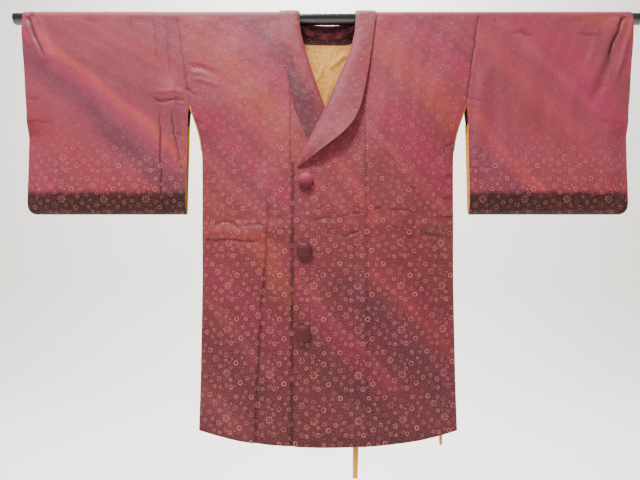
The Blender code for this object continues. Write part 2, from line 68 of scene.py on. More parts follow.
# %% Sizes of the coat
SHOULDER = 0.3245
ARMHOLE_DEPTH = 0.190
ARMHOLE_FOOT = 0.2945
FRONT_HEM = 0.892
BACK_HEM = 0.877
HEM_RISE_AT_SIDES = 0.021
BACK_HEM_RISE_AT_SIDES = 0.006
HEM_HALF_WIDTH = 0.2625
HEM_CURVE_REACH = 0.120
OVERLAP_SEAM = 0.078
OVERLAP_SLANT_STARTS = 0.140
OVERLAP_TIP = 0.070
OVERLAP_TIP_WIDTH = 0.003
FRONT_EDGE = -0.066
NECK_HALF_WIDTH = 0.066
NECK_BACK_DROP = 0.054
ROLL_HALF_WIDTH = 0.060
ROLL_BACK_DROP = 0.007
COLLAR_HALF_WIDTH = 0.104
COLLAR_BACK_DROP = 0.064
COLLAR_STAND = NECK_HALF_WIDTH - ROLL_HALF_WIDTH

# %% Sizes of the sleeves and the linings
SLEEVE_DROP = 0.429
SLEEVE_INNER_EDGE = 0.297
SLEEVE_OUTER_FOOT = 0.634
SLEEVE_CORNER = 0.022
SLEEVE_TURN_HEIGHT = 0.044
SLEEVE_BACK_TURN_HEIGHT = 0.009
SLEEVE_TURN_MIDDLE = 0.0015
WRIST_OPENING = 0.235
WRIST_SEAM_REACH = 0.045
EDGING_WIDTH = 0.022
EDGING_SHOWS = 0.0012
EDGING_TUCKED = 0.0020
LINING_HEM = 0.018
LINING_TOP = 0.014

# %% Outlines, each a table of (z, x)
SIDE_SEAM = (
    (-0.900, 0.2625), (-0.750, 0.2610), (-0.600, 0.2610), (-0.460, 0.2635),
    (-0.400, 0.2645), (-0.315, 0.2665), (-0.280, 0.2690), (-0.190, 0.2943),
)
SLEEVE_OUTER_EDGE = (
    (-0.430, 0.6340), (-0.350, 0.6345), (-0.280, 0.6360), (-0.220, 0.6375),
    (-0.166, 0.6430), (-0.100, 0.6490), (-0.034, 0.6555), (0.000, 0.6560),
)
ROLL_LINE = {
    "left": (
        (-0.335, -0.0660), (-0.323, -0.0630), (-0.271, -0.0370), (-0.208, -0.0060),
        (-0.134, 0.0250), (-0.070, 0.0500), (-0.030, 0.0580), (0.000, 0.0600),
    ),
    "right": (
        (-0.335, -0.0660), (-0.323, -0.0610), (-0.271, -0.0260), (-0.207, 0.0040),
        (-0.143, 0.0270), (-0.068, 0.0500), (-0.030, 0.0580), (0.000, 0.0600),
    ),
}
COLLAR_OUTER_EDGE = {
    "left": (
        (-0.335, -0.0590), (-0.302, -0.0160), (-0.261, 0.0350), (-0.235, 0.0550),
        (-0.198, 0.0700), (-0.113, 0.0870), (-0.010, 0.1025), (0.000, 0.1040),
    ),
    "right": (
        (-0.335, -0.0590), (-0.318, -0.0200), (-0.284, 0.0350), (-0.234, 0.0580),
        (-0.175, 0.0780), (-0.089, 0.0930), (-0.007, 0.1030), (0.000, 0.1040),
    ),
}

# %% How far the cloth stands out from the rod's axis, each a table of (z, distance)
FRONT_MIDDLE = (
    (-0.900, 0.0400), (-0.650, 0.0395), (-0.450, 0.0375), (-0.300, 0.0325),
    (-0.200, 0.0265), (-0.100, 0.0190), (0.000, FOLD_RADIUS),
)
FRONT_SIDE = (
    (-0.320, SEAM_GAP / 2), (-0.280, 0.0022), (-0.190, 0.0110), (-0.100, 0.0125), (0.000, FOLD_RADIUS),
)
BACK_MIDDLE = (
    (-0.900, 0.0185), (-0.600, 0.0180), (-0.300, 0.0160), (-0.100, 0.0142), (0.000, FOLD_RADIUS),
)
BACK_SIDE = (
    (-0.320, SEAM_GAP / 2), (-0.280, 0.0022), (-0.190, 0.0090), (-0.100, 0.0110), (0.000, FOLD_RADIUS),
)
SLEEVE_FRONT = (
    (-0.385, 0.0110), (-0.280, 0.0105), (-0.190, 0.0110), (-0.100, 0.0125), (0.000, FOLD_RADIUS),
)
SLEEVE_BACK = (
    (-0.430, 0.0055), (-0.300, 0.0070), (-0.190, 0.0090), (-0.100, 0.0110), (0.000, FOLD_RADIUS),
)
BELLY_POWER = 2.2
RIGHT_FRONT_SINK = (
    (-0.900, 0.0024), (-0.450, 0.0024), (-0.360, 0.0056), (-0.200, 0.0056), (-0.060, 0.0), (0.0, 0.0),
)
SINK_STARTS = -0.200
SINK_FULL = -0.085
COLLAR_LIFT = {
    "left": (
        (-0.335, 0.0010), (-0.302, 0.0110), (-0.261, 0.0150),
        (-0.198, 0.0090), (-0.113, 0.0040), (0.0, 0.0006),
    ),
    "right": ((-0.335, 0.0), (-0.250, 0.0), (-0.175, 0.0035), (-0.089, 0.0030), (0.0, 0.0006)),
}
COLLAR_PUFF = {
    "left": ((-0.335, 0.0010), (-0.290, 0.0050), (-0.220, 0.0065), (-0.100, 0.0045), (0.0, 0.0012)),
    "right": ((-0.335, 0.0), (-0.250, 0.0), (-0.175, 0.0028), (-0.089, 0.0034), (0.0, 0.0012)),
}
LINING_REACH = (
    (-0.900, 0.940), (-0.340, 0.940), (-0.285, 1.010), (-0.190, 1.011), (-0.170, 0.990), (0.000, 0.985),
)


# %% [markdown]
# Every table is read by one smooth curve through its rows that never goes past them, so a seam has no
# bulge that nobody drew. All these helpers work on whole grids of points at once, which keeps the script
# fast although each front has more than 15,000 points.

# %% Read the tables
def curve(table, place):
    """A smooth curve through a table's rows, held between them, at one place or at many."""
    rows = np.array(table)
    at, value = rows[:, 0], rows[:, 1]
    step = np.diff(at)
    slope = np.diff(value) / step
    lean = np.zeros(len(at))
    lean[0], lean[-1] = slope[0], slope[-1]
    product = slope[:-1] * slope[1:]
    total = slope[:-1] + slope[1:]
    lean[1:-1] = np.where(product > 0, 2 * product / np.where(total == 0, 1, total), 0)
    place = np.clip(place, at[0], at[-1])
    row = np.clip(np.searchsorted(at, place, side="right") - 1, 0, len(at) - 2)
    share = (place - at[row]) / step[row]
    starts, ends = lean[row] * step[row], lean[row + 1] * step[row]
    rise = value[row + 1] - value[row]
    curved = (3 * rise - 2 * starts - ends) * share**2 + (starts + ends - 2 * rise) * share**3
    return value[row] + starts * share + curved


def soft(value, start, end):
    """0 before the start, 1 after the end, and a soft rise between them."""
    share = np.clip((value - start) / (end - start), 0, 1)
    return share * share * (3 - 2 * share)


def mix(start, end, share):
    return start + (end - start) * share


print("half way down, the right front sinks", curve(RIGHT_FRONT_SINK, -0.3))


# %% [markdown]
# Real silk on a rod is never flat. The creases below are each listed: a line across the coat,
# how wide and how deep it is, and whether it rises or sinks. A table of
# lines is easy to correct one crease at a time, which a noise texture would not be. The front and the back
# share the tables: behind, the lines are turned round and moved a little, as no photograph shows them.

# %% Creases, each a kind, a half width, a depth, the ends that fade and its line, in millimetres
CREASES = (
    # left sleeve: the tuck at the hand, and its lips
    ("trough", 6, 4.4, "e", ((-648, 0), (-640, -14), (-630, -38), (-614, -71), (-602, -98))),
    ("ridge", 8, 1.6, "e", ((-665, 0), (-652, -36), (-632, -89))),
    ("ridge", 9, 1.2, "e", ((-624, 0), (-611, -31), (-590, -80))),
    ("trough", 4.5, 1.2, "se", ((-644, -234), (-617, -231), (-587, -236))),
    ("trough", 4, 0.9, "se", ((-653, -186), (-632, -181), (-610, -186))),
    # left sleeve: beside the armhole
    ("trough", 4, 1.2, "se", ((-376, 0), (-370, -54), (-362, -120))),
    ("trough", 4, 1.3, "se", ((-350, 0), (-342, -65), (-336, -146))),
    ("trough", 4, 0.7, "se", ((-426, 0), (-422, -36))),
    ("ridge", 6, 0.9, "se", ((-361, 0), (-355, -63), (-349, -124))),
    ("trough", 4.5, 2.6, "s", ((-380, -175), (-354, -190), (-330, -188), (-305, -184))),
    ("ridge", 8, 1.6, "s", ((-378, -160), (-348, -170), (-305, -166))),
    ("trough", 4.5, 2.4, "s", ((-356, -190), (-354, -272), (-349, -379), (-343, -425))),
    ("trough", 4.5, 2.2, "s", ((-330, -201), (-324, -264), (-315, -298), (-306, -332))),
    ("trough", 3.5, 1.4, "s", ((-326, -194), (-309, -197))),
    ("trough", 3.5, 1.4, "s", ((-322, -259), (-305, -262))),
    ("ridge", 16, 1.6, "se", ((-531, -54), (-482, -208), (-485, -358))),
    ("ridge", 20, 1.4, "se", ((-590, -164), (-568, -294), (-560, -368))),
    ("trough", 18, 1.2, "se", ((-444, -98), (-427, -229), (-418, -358))),
    ("trough", 12, 1.2, "se", ((-627, -294), (-595, -341), (-581, -379))),
    # right front: the yoke and the armhole edge
    ("trough", 10, 2.2, "se", ((-304, -107), (-278, -116), (-257, -120), (-232, -135))),
    ("ridge", 8, 1.6, "se", ((-295, -138), (-261, -146), (-227, -155))),
    ("trough", 5, 1.6, "se", ((-309, -159), (-294, -164), (-275, -177))),
    ("trough", 4.5, 2.2, "e", ((-293, -224), (-282, -226), (-265, -237))),
    ("trough", 4.5, 2.2, "e", ((-288, -269), (-277, -273), (-265, -284))),
    ("ridge", 7, 1.2, "e", ((-288, -248), (-276, -252), (-259, -258))),
    ("trough", 4, 1.0, "se", ((-249, -343), (-226, -345))),
    ("trough", 4, 0.7, "se", ((-256, -385), (-219, -381))),
    ("ridge", 16, 1.5, "se", ((-204, -15), (-189, -146), (-183, -296))),
    ("trough", 18, 1.4, "se", ((-156, -59), (-138, -211), (-129, -339))),
    # right front: the pressed band across, with its dark lines
    ("trough", 4.5, 2.0, "s", ((-254, -447), (-231, -449), (-207, -445), (-183, -457))),
    ("trough", 4, 1.6, "se", ((-183, -457), (-154, -453), (-122, -459))),
    ("trough", 4, 0.9, "se", ((-126, -457), (-102, -463), (-77, -463))),
    ("trough", 4.5, 2.5, "e", ((-253, -482), (-215, -484), (-170, -486), (-130, -488))),
    ("ridge", 14, 1.3, "e", ((-253, -465), (-207, -467), (-134, -471))),
    ("ridge", 10, 1.2, "se", ((-248, -429), (-207, -426), (-159, -433))),
    ("trough", 4, 0.8, "se", ((-248, -420), (-220, -418))),
    # right front: the long fold
    ("trough", 4, 0.9, "s", ((-123, -375), (-126, -416), (-130, -457))),
    ("trough", 4.5, 1.9, "s",
     ((-126, -461), (-127, -522), (-133, -606), (-138, -705), (-143, -802), (-144, -890))),
    ("trough", 20, 1.8, "s", ((-117, -566), (-124, -705), (-126, -879))),
    ("ridge", 16, 1.0, "se", ((-194, -526), (-200, -685), (-201, -860))),
    ("trough", 22, 1.2, "se", ((-234, -526), (-232, -666), (-225, -802))),
    ("trough", 14, 0.9, "se", ((-241, -787), (-202, -802), (-166, -821))),
    # left front: the yoke and the upper part
    ("trough", 4.5, 1.2, "se", ((153, -374), (172, -377), (190, -383))),
    ("ridge", 18, 1.5, "se", ((205, -37), (194, -168), (179, -296))),
    ("trough", 18, 1.3, "se", ((145, -59), (135, -211), (121, -339))),
    ("trough", 4.5, 1.6, "e", ((263, -395), (250, -395), (238, -397))),
    ("trough", 4.5, 1.6, "e", ((270, -347), (255, -349), (243, -349))),
    ("trough", 5, 1.4, "e", ((276, -275), (261, -279), (246, -288))),
    ("ridge", 12, 1.0, "se", ((212, -318), (244, -372))),
    ("trough", 7, 1.0, "se", ((109, -296), (142, -318), (171, -324))),
    # left front: the pressed lines across
    ("trough", 4.5, 2.0, "se", ((20, -439), (36, -433), (53, -431), (81, -429))),
    ("trough", 4.5, 1.7, "se", ((77, -426), (97, -420), (114, -418))),
    ("trough", 4.5, 1.4, "se", ((118, -422), (156, -424), (193, -424))),
    ("trough", 4.5, 2.3, "se", ((20, -477), (40, -475), (57, -469), (73, -467))),
    ("trough", 4, 1.6, "se", ((71, -482), (87, -477))),
    ("trough", 4, 1.2, "se", ((132, -461), (150, -459))),
    ("trough", 4.5, 1.4, "se", ((146, -473), (162, -477), (182, -477))),
    ("trough", 4, 1.6, "se", ((-37, -443), (-12, -443), (16, -439))),
    ("trough", 4, 1.2, "se", ((-25, -469), (4, -473), (28, -471))),
    ("ridge", 11, 1.4, "se", ((-33, -457), (24, -455), (89, -451))),
    ("ridge", 10, 0.9, "se", ((97, -443), (146, -445), (195, -443))),
    # left front: the dimple and the folds at its edge
    ("trough", 14, 5.4, "s", ((182, -467), (210, -471), (235, -473), (265, -480))),
    ("ridge", 9, 2.2, "s", ((187, -445), (227, -449), (263, -453))),
    ("ridge", 10, 2.2, "s", ((182, -498), (222, -502), (262, -508))),
    ("trough", 4.5, 2.2, "e", ((264, -437), (248, -433), (236, -431))),
    ("trough", 4.5, 1.4, "e", ((262, -586), (248, -584), (238, -584))),
    ("trough", 8, 1.2, "e", ((264, -530), (225, -534), (201, -530))),
    ("trough", 18, 1.3, "se", ((234, -506), (243, -666), (243, -860))),
    ("ridge", 26, 1.4, "se", ((177, -506), (183, -685), (187, -879))),
    ("trough", 24, 1.2, "se", ((117, -486), (119, -666), (125, -879))),
    ("ridge", 24, 1.0, "se", ((24, -566), (27, -724), (31, -890))),
    ("trough", 16, 0.8, "se", ((-32, -705), (-24, -802), (-24, -879))),
    # right sleeve: the armhole seam and its puckers
    ("trough", 4.5, 1.8, "", ((324, 0), (313, -76), (296, -181))),
    ("trough", 4, 1.3, "se", ((354, -7), (364, -16))),
    ("trough", 4, 1.0, "se", ((404, 0), (403, -20))),
    ("trough", 4.5, 1.3, "se", ((383, -40), (413, -38), (445, -43))),
    ("trough", 4.5, 1.5, "se", ((520, -40), (550, -43), (601, -45))),
    ("ridge", 7, 0.8, "se", ((387, -27), (443, -27))),
    ("trough", 4, 1.2, "e", ((298, -181), (315, -186), (332, -184))),
    ("trough", 4, 1.0, "e", ((297, -199), (318, -203))),
    ("trough", 4, 1.0, "e", ((299, -214), (322, -218))),
    ("trough", 4, 1.2, "e", ((300, -257), (323, -259))),
    ("trough", 4, 1.0, "e", ((301, -313), (324, -315))),
    ("ridge", 18, 1.5, "se", ((369, -54), (373, -208), (373, -358))),
    ("trough", 20, 1.2, "se", ((454, -98), (457, -229), (457, -358))),
    ("ridge", 16, 1.1, "se", ((530, -120), (516, -251), (519, -366))),
    # right sleeve: the deep fold at the hand
    ("trough", 6, 5.6, "e", ((639, 0), (631, -9), (621, -38), (606, -71), (594, -102))),
    ("trough", 15, 3.6, "se", ((621, -45), (601, -102), (574, -168), (560, -199))),
    ("ridge", 9, 3.6, "e", ((658, 0), (642, -54), (624, -111), (604, -168))),
    ("ridge", 12, 1.8, "se", ((586, -9), (566, -76), (546, -138))),
    ("trough", 4.5, 0.9, "se", ((569, -234), (601, -231), (628, -236))),
    ("trough", 12, 1.4, "se", ((633, -181), (624, -272), (624, -358))),
    # collar: soft dents
    ("trough", 7, 1.0, "se", ((-80, -81), (-67, -138), (-46, -181))),
    ("ridge", 8, 0.8, "se", ((-59, -103), (-42, -159))),
    # seams that sink between two panels
    ("trough", 5.5, 2.6, "", ((-71.6, -318), (-71.6, -500), (-71.6, -893))),
    ("trough", 4.5, 1.3, "s", ((78.3, -130), (78.3, -300), (78.3, -890))),
    ("trough", 4.5, 1.3, "s", ((-78.3, -130), (-78.3, -330))),
    ("trough", 4, 0.9, "", ((-324.5, -4), (-294.5, -190))),
)

# %% The large raised folds of the CAD model: both ends, how far the rise fades to each side, and its height
FOLDS = (
    (-0.122, -0.382, -0.149, -0.890, 0.070, 0.005, 0.0036),
    (-0.080, -0.466, -0.262, -0.466, 0.030, 0.030, 0.0032),
    (0.190, -0.450, 0.262, -0.470, 0.024, 0.024, 0.0030),
    (0.090, -0.455, 0.150, -0.450, 0.022, 0.022, 0.0022),
    (-0.333, -0.150, -0.309, -0.345, 0.055, 0.012, 0.0038),
    (-0.602, -0.099, -0.640, -0.020, 0.026, 0.026, 0.0034),
    (0.560, -0.150, 0.620, -0.010, 0.034, 0.034, 0.0044),
    (0.330, -0.120, 0.312, -0.330, 0.030, 0.016, 0.0026),
)


# %% How far a place lies from a drawn line
def in_metres(path):
    return [(x / 1000, z / 1000) for x, z in path]


def near_line(path, room, x, z):
    """Which places lie in the box round a line in millimetres, grown by some room."""
    xs, zs = zip(*in_metres(path))
    return (x > min(xs) - room) & (x < max(xs) + room) & (z > min(zs) - room) & (z < max(zs) + room)


def nearest(path, x, z):
    """How far places lie from a line in millimetres, and their share of the way along it."""
    best = np.full(np.shape(x), 9.0)
    along = np.zeros(np.shape(x))
    walked = 0.0
    path = in_metres(path)
    for (x0, z0), (x1, z1) in zip(path, path[1:]):
        run_x, run_z = x1 - x0, z1 - z0
        length = math.hypot(run_x, run_z)
        share = np.clip(((x - x0) * run_x + (z - z0) * run_z) / length**2, 0, 1)
        away = np.hypot(x - x0 - share * run_x, z - z0 - share * run_z)
        nearer = away < best
        best = np.where(nearer, away, best)
        along = np.where(nearer, walked + share * length, along)
        walked += length
    return best, along / walked


# %% The rise and fall of one crease
TROUGH_DEPTH = 1.05
LIP_HEIGHT = 0.10


def crease_lift(kind, width, depth, fades, path, x, z):
    """How far one crease lifts the cloth, or sinks it where it is a trough with its low lips."""
    away, along = nearest(path, x, z)
    uneven = 0.82 + 0.18 * np.sin(along * 9.0 + path[0][0] * 0.090)
    start = 0.30 if "s" in fades else 0.001
    end = 0.70 if "e" in fades else 0.999
    uneven = uneven * soft(along, 0, start) * (1 - soft(along, end, 1))
    if "s" not in fades or "e" not in fades:
        uneven = np.where(away > width, 0, uneven)
    rise = 1 - soft(away, 0, width)
    if kind == "trough":
        lips = soft(away, 0.55 * width, width) * (1 - soft(away, width, 2.0 * width))
        return TROUGH_DEPTH * depth * uneven * (LIP_HEIGHT * lips - rise)
    return depth * uneven * rise


# %% All the creases together, with the slow waves of hung cloth
def wander(x, z):
    """Places moved a little to and fro, so that no drawn line is quite straight."""
    moved_x = x + 0.0010 * np.sin(z * 83 + x * 31) + 0.0005 * np.sin(z * 211)
    moved_z = z + 0.0011 * np.sin(x * 91 + z * 17) + 0.0007 * np.sin(x * 237)
    return moved_x, moved_z


WAVE_HEIGHT = 0.00095
BACK_CREASES = 0.75


def relief_of_front(x, z):
    lift = np.zeros(np.shape(x))
    wander_x, wander_z = wander(x, z)
    for kind, width, depth, fades, path in CREASES:
        width, depth = width / 1000, depth / 1000
        near = near_line(path, 2.2 * width + 0.004, x, z)
        if near.any():
            lift[near] += crease_lift(kind, width, depth, fades, path, wander_x[near], wander_z[near])
    for x0, z0, x1, z1, fade_out, fade_in, height in FOLDS:
        run_x, run_z = x1 - x0, z1 - z0
        length = math.hypot(run_x, run_z)
        share = ((x - x0) * run_x + (z - z0) * run_z) / length**2
        across = (run_x * (z - z0) - run_z * (x - x0)) / length * (1 if x0 > 0 else -1)
        fade = np.where(across < 0, fade_in, fade_out)
        ends = soft(share, -0.15, 0.12) * (1 - soft(share, 0.95, 1.15))
        lift += height * ends * (1 - soft(np.abs(across) / fade, 0, 1))
    waves = 0.9 * np.sin(x * 41 + 1.3 + 2.1 * np.sin(z * 7)) * np.sin(z * 11 + 0.4)
    waves += 0.6 * np.sin(x * 67 - z * 23 + 0.7) + 0.35 * np.sin(z * 61 + 1.7 * np.sin(x * 19))
    waves += 0.22 * np.sin(x * 149 + z * 57) * np.sin(z * 131 - x * 43)
    return lift + waves * WAVE_HEIGHT


def turned_round(x, z):
    """The place of the front whose creases, dyes and painted shade a place of the back takes."""
    return 0.012 - 0.98 * x, 0.97 * z - 0.006


def relief(x, z, is_front):
    """How far creases and waves lift the cloth, with the back's creases turned round from the front's."""
    front = relief_of_front(x, z)
    back = BACK_CREASES * relief_of_front(*turned_round(x, z))
    return np.where(is_front, front, back) * soft(-z, 0.0, 0.014)


probe = relief_of_front(*np.meshgrid(np.linspace(-0.6, 0.6, 60), np.linspace(-0.85, -0.05, 60)))
print("creases lift the cloth from", round(probe.min() * 1000, 1), "to", round(probe.max() * 1000, 1), "mm")


# %% Lay the body's cloth over the rod
def half_width(z):
    """The body's half width: the armhole seam's straight line, then the slit and the side seam."""
    armhole = mix(SHOULDER, ARMHOLE_FOOT, np.clip(-z, 0, ARMHOLE_DEPTH) / ARMHOLE_DEPTH) - SEAM_GAP / 2
    return np.where(z >= -ARMHOLE_DEPTH, armhole, curve(SIDE_SEAM, z))


def belly(x, z, middle, side):
    """How far a body panel stands out from the rod's axis: most in the middle, least at the side."""
    share = np.clip(np.abs(x) / half_width(z), 0, 1)
    edge = curve(side, z)
    return edge + (curve(middle, z) - edge) * (1 - share**BELLY_POWER)


def height_at(length):
    """The z of a length along the cloth, 0 where it lies on the rod."""
    return np.minimum(0.0, QUARTER - np.abs(length))


def lay(side, x, length, out):
    """Places on the cloth, laid over the rod: x from the middle, the length along it, the distance out."""
    x, length, out = np.broadcast_arrays(x, length, out)
    z = height_at(length)
    is_front = length < 0
    front, back = belly(x, z, FRONT_MIDDLE, FRONT_SIDE), belly(x, z, BACK_MIDDLE, BACK_SIDE)
    stand_off = np.where(is_front, front, back)
    if side == "right":
        stand_off = stand_off - is_front * curve(RIGHT_FRONT_SINK, z) * soft(-x, SINK_STARTS, SINK_FULL)
    at_side = 1 - (1 - soft(half_width(z) - np.abs(x), 0.0, 0.016)) * soft(-z, 0.15, 0.21)
    lift = relief(SIGN[side] * x, z, is_front) * at_side
    hung = (stand_off + out + lift) * np.where(is_front, -1, 1)
    turn = np.clip(length / FOLD_RADIUS, -math.pi / 2, math.pi / 2)
    on_rod = np.abs(length) <= QUARTER
    y = np.where(on_rod, (FOLD_RADIUS + out) * np.sin(turn), hung)
    z = np.where(on_rod, (FOLD_RADIUS + out) * np.cos(turn), z)
    return np.stack([SIGN[side] * x, y, z], axis=-1)


print("the front hem stands out", round(-lay("left", 0.1, -0.9, 0.0)[..., 1] * 1000, 1), "mm")

# %% [markdown]
# The silk was dyed in soft diagonal clouds before it was cut, so each panel has its own. They are painted
# here as bands with a name, a place, a width and a strength, and stored on the mesh as colours. An image
# texture could do it too, but listed bands stay sharp at any size and are easy to change.

# %% The dyes, as they look in daylight, in steps of 0 to 255
DYES = {
    "rose": (174, 68, 90),
    "wine": (158, 58, 74),
    "coral": (214, 76, 84),
    "gold": (196, 84, 70),
    "magenta": (196, 50, 98),
    "plum": (134, 60, 88),
    "brown": (148, 74, 74),
    "maroon": (104, 32, 44),
    "dusk": (114, 50, 70),
    "blush": (218, 90, 116),
    "red": (188, 52, 70),
}
# The plain ground at the top, middle and foot of each kind of panel. It darkens downwards, partly a change of
# dye and partly painted shade, as the light falls off towards the foot.
PLAIN = {"body": ("rose", "wine", "wine"), "sleeve": ("rose", "rose", "wine")}

# %% The bands of each panel: the dye, a half width, a strength, and its line, in millimetres
BANDS = {
    "sleeve_right": (
        ("magenta", 60, 0.44, ((-677, 0), (-564, -109), (-407, -234))),
        ("blush", 20, 0.38, ((-621, -37), (-534, -118), (-456, -178), (-345, -283))),
        ("coral", 32, 0.32, ((-533, 0), (-396, -74), (-294, -172))),
        ("brown", 32, 0.44, ((-553, -89), (-415, -157), (-302, -236))),
        ("red", 55, 0.40, ((-639, -211), (-513, -319), (-403, -416))),
        ("plum", 37, 0.84,
         ((-646, -87), (-570, -148), (-510, -200), (-454, -247), (-390, -306), (-279, -399))),
        ("dusk", 32, 0.48, ((-479, -245), (-368, -344), (-274, -414))),
        ("magenta", 32, 0.44, ((-661, -293), (-607, -352), (-565, -409))),
        ("coral", 15, 0.89, ((-614, -48), (-534, -111), (-456, -174), (-370, -249), (-291, -325))),
    ),
    "front_right": (
        ("coral", 60, 0.44, ((-313, 0), (-215, -87), (-115, -199))),
        ("plum", 37, 0.60, ((-195, 0), (-135, -52), (-61, -134))),
        ("magenta", 37, 0.44, ((-230, 0), (-152, -74), (-79, -166))),
        ("gold", 34, 0.56, ((-216, -105), (-129, -200), (-46, -307))),
        ("coral", 32, 0.44, ((-285, -94), (-184, -191), (-57, -340))),
        ("magenta", 37, 0.48, ((-304, -180), (-182, -298), (-51, -434))),
        ("plum", 17, 0.30, ((-299, -223), (-190, -331), (-114, -419))),
        ("blush", 19, 0.30, ((-298, -274), (-198, -373), (-111, -454))),
        ("gold", 37, 0.44, ((-279, -370), (-180, -468), (-59, -598))),
        ("coral", 30, 0.48, ((-294, -446), (-188, -481), (-104, -507))),
        ("gold", 30, 0.36, ((-145, -476), (-106, -558), (-60, -630))),
        ("magenta", 46, 0.44, ((-285, -507), (-187, -599), (-54, -733))),
        ("blush", 17, 0.34, ((-282, -575), (-194, -667), (-111, -753))),
        ("dusk", 37, 0.36, ((-279, -666), (-176, -750), (-52, -856))),
        ("blush", 32, 0.40, ((-281, -782), (-207, -836), (-151, -883))),
    ),
    "front_left": (
        ("coral", 37, 0.48, ((70, -1), (177, -113), (304, -240))),
        ("gold", 30, 0.48, ((57, -27), (160, -135), (295, -266))),
        ("magenta", 41, 0.52, ((146, 0), (237, -61), (322, -151))),
        ("plum", 20, 0.47, ((181, 0), (254, -48), (328, -119))),
        ("magenta", 51, 0.48, ((74, -157), (179, -276), (286, -398))),
        ("coral", 20, 0.51, ((13, -317), (58, -377), (94, -444))),
        ("blush", 17, 0.30, ((69, -230), (157, -327), (253, -426))),
        ("brown", 41, 0.48, ((84, -334), (169, -415), (284, -528))),
        ("coral", 20, 0.30, ((-71, -331), (4, -394), (71, -468))),
        ("brown", 37, 0.32, ((-81, -408), (24, -513), (128, -613))),
        ("magenta", 34, 0.48, ((-86, -554), (4, -659), (117, -781))),
        ("blush", 15, 0.34, ((-83, -542), (12, -647), (133, -777))),
        ("plum", 37, 0.64, ((46, -575), (145, -679), (281, -811))),
        ("dusk", 37, 0.44, ((15, -562), (128, -694), (244, -820))),
        ("coral", 19, 0.59, ((94, -556), (181, -639), (282, -745))),
        ("magenta", 20, 0.42, ((74, -507), (178, -607), (279, -709))),
        ("dusk", 41, 0.52, ((-88, -656), (4, -746), (134, -864))),
        ("brown", 20, 0.34, ((-23, -772), (87, -843), (167, -900))),
        ("magenta", 20, 0.38, ((202, -690), (243, -773), (264, -873))),
    ),
    "sleeve_left": (
        ("magenta", 55, 0.48, ((403, 0), (503, -83), (603, -208))),
        ("blush", 19, 0.26, ((343, 0), (448, -78), (559, -198))),
        ("magenta", 32, 0.44, ((525, -151), (593, -217), (659, -288))),
        ("brown", 30, 0.44, ((577, -28), (610, -126), (655, -221))),
        ("gold", 30, 0.52, ((562, 0), (628, -13), (683, -73))),
        ("coral", 32, 0.36, ((299, -14), (404, -126), (527, -258))),
        ("coral", 20, 0.51, ((294, -189), (363, -289), (417, -352), (477, -408))),
        ("plum", 30, 0.60, ((269, -251), (335, -327), (416, -399))),
        ("dusk", 20, 0.42, ((271, -307), (330, -369), (377, -417))),
        ("red", 46, 0.36, ((418, -211), (522, -310), (626, -403))),
        ("brown", 32, 0.32, ((337, -133), (458, -251), (565, -359))),
    ),
    "collar_right": (
        ("blush", 60, 0.48, ((-110, 0), (-88, -48), (-60, -129))),
        ("coral", 32, 0.48, ((-81, -38), (-33, -148), (13, -229))),
        ("plum", 37, 0.68, ((-107, -82), (-58, -187), (-9, -281))),
        ("dusk", 20, 0.51, ((-91, -143), (-46, -230), (-24, -309))),
    ),
    "collar_left": (
        ("blush", 60, 0.56, ((89, 0), (51, -148), (-10, -273))),
        ("magenta", 37, 0.36, ((62, -95), (4, -213), (-54, -314))),
        ("coral", 17, 0.51, ((84, -70), (72, -182), (21, -272))),
        ("blush", 20, 0.51, ((44, -223), (-25, -272), (-84, -339))),
    ),
}


# %% Painted shade: the dye is darkened in the bottom of sharp creases, where shade falls
SHARPEST = 7
DEEP_CREASE = 2.4


def painted_crease_shade(x, z):
    """How much painted shade darkens the cloth: 0 on open cloth, up to 1 in the bottom of a sharp crease."""
    dark = np.zeros(np.shape(x))
    for kind, width, depth, fades, path in CREASES:
        if kind != "trough" or width > SHARPEST:
            continue
        room = width / 1000
        near = near_line(path, room, x, z)
        if near.any():
            away, along = nearest(path, *wander(x[near], z[near]))
            share = 1 - soft(away, 0.0, 0.75 * room)
            share *= soft(along, 0, 0.25 if "s" in fades else 0.001)
            share *= 1 - soft(along, 0.75 if "e" in fades else 0.999, 1)
            dark[near] = np.maximum(dark[near], share * min(1.0, depth / DEEP_CREASE))
    return dark


# %% Paint the bands and the painted shade
def linear(colour):
    """A colour from steps of 0 to 255 to the amounts of light that Blender works with."""
    share = np.array(colour) / 255
    return np.where(share <= 0.04045, share / 12.92, ((share + 0.055) / 1.055) ** 2.4)


# How dark the painted shade in sharp creases makes the dye.
CREASE_SHADE_DARKNESS = 0.80
# Painted shade on the band where the sleeve's foot turns under, away from the light: where it lies, and how
# much light it keeps.
SHADED_FOOT_BAND = (0.376, 0.390)
FOOT_BAND_SHADE = np.array([0.135, 0.048, 0.044])
# Painted shade towards the body's foot, and more at the hem, which turns under.
BODY_FOOT_SHADE = 0.52
HEM_SHADE = 0.70


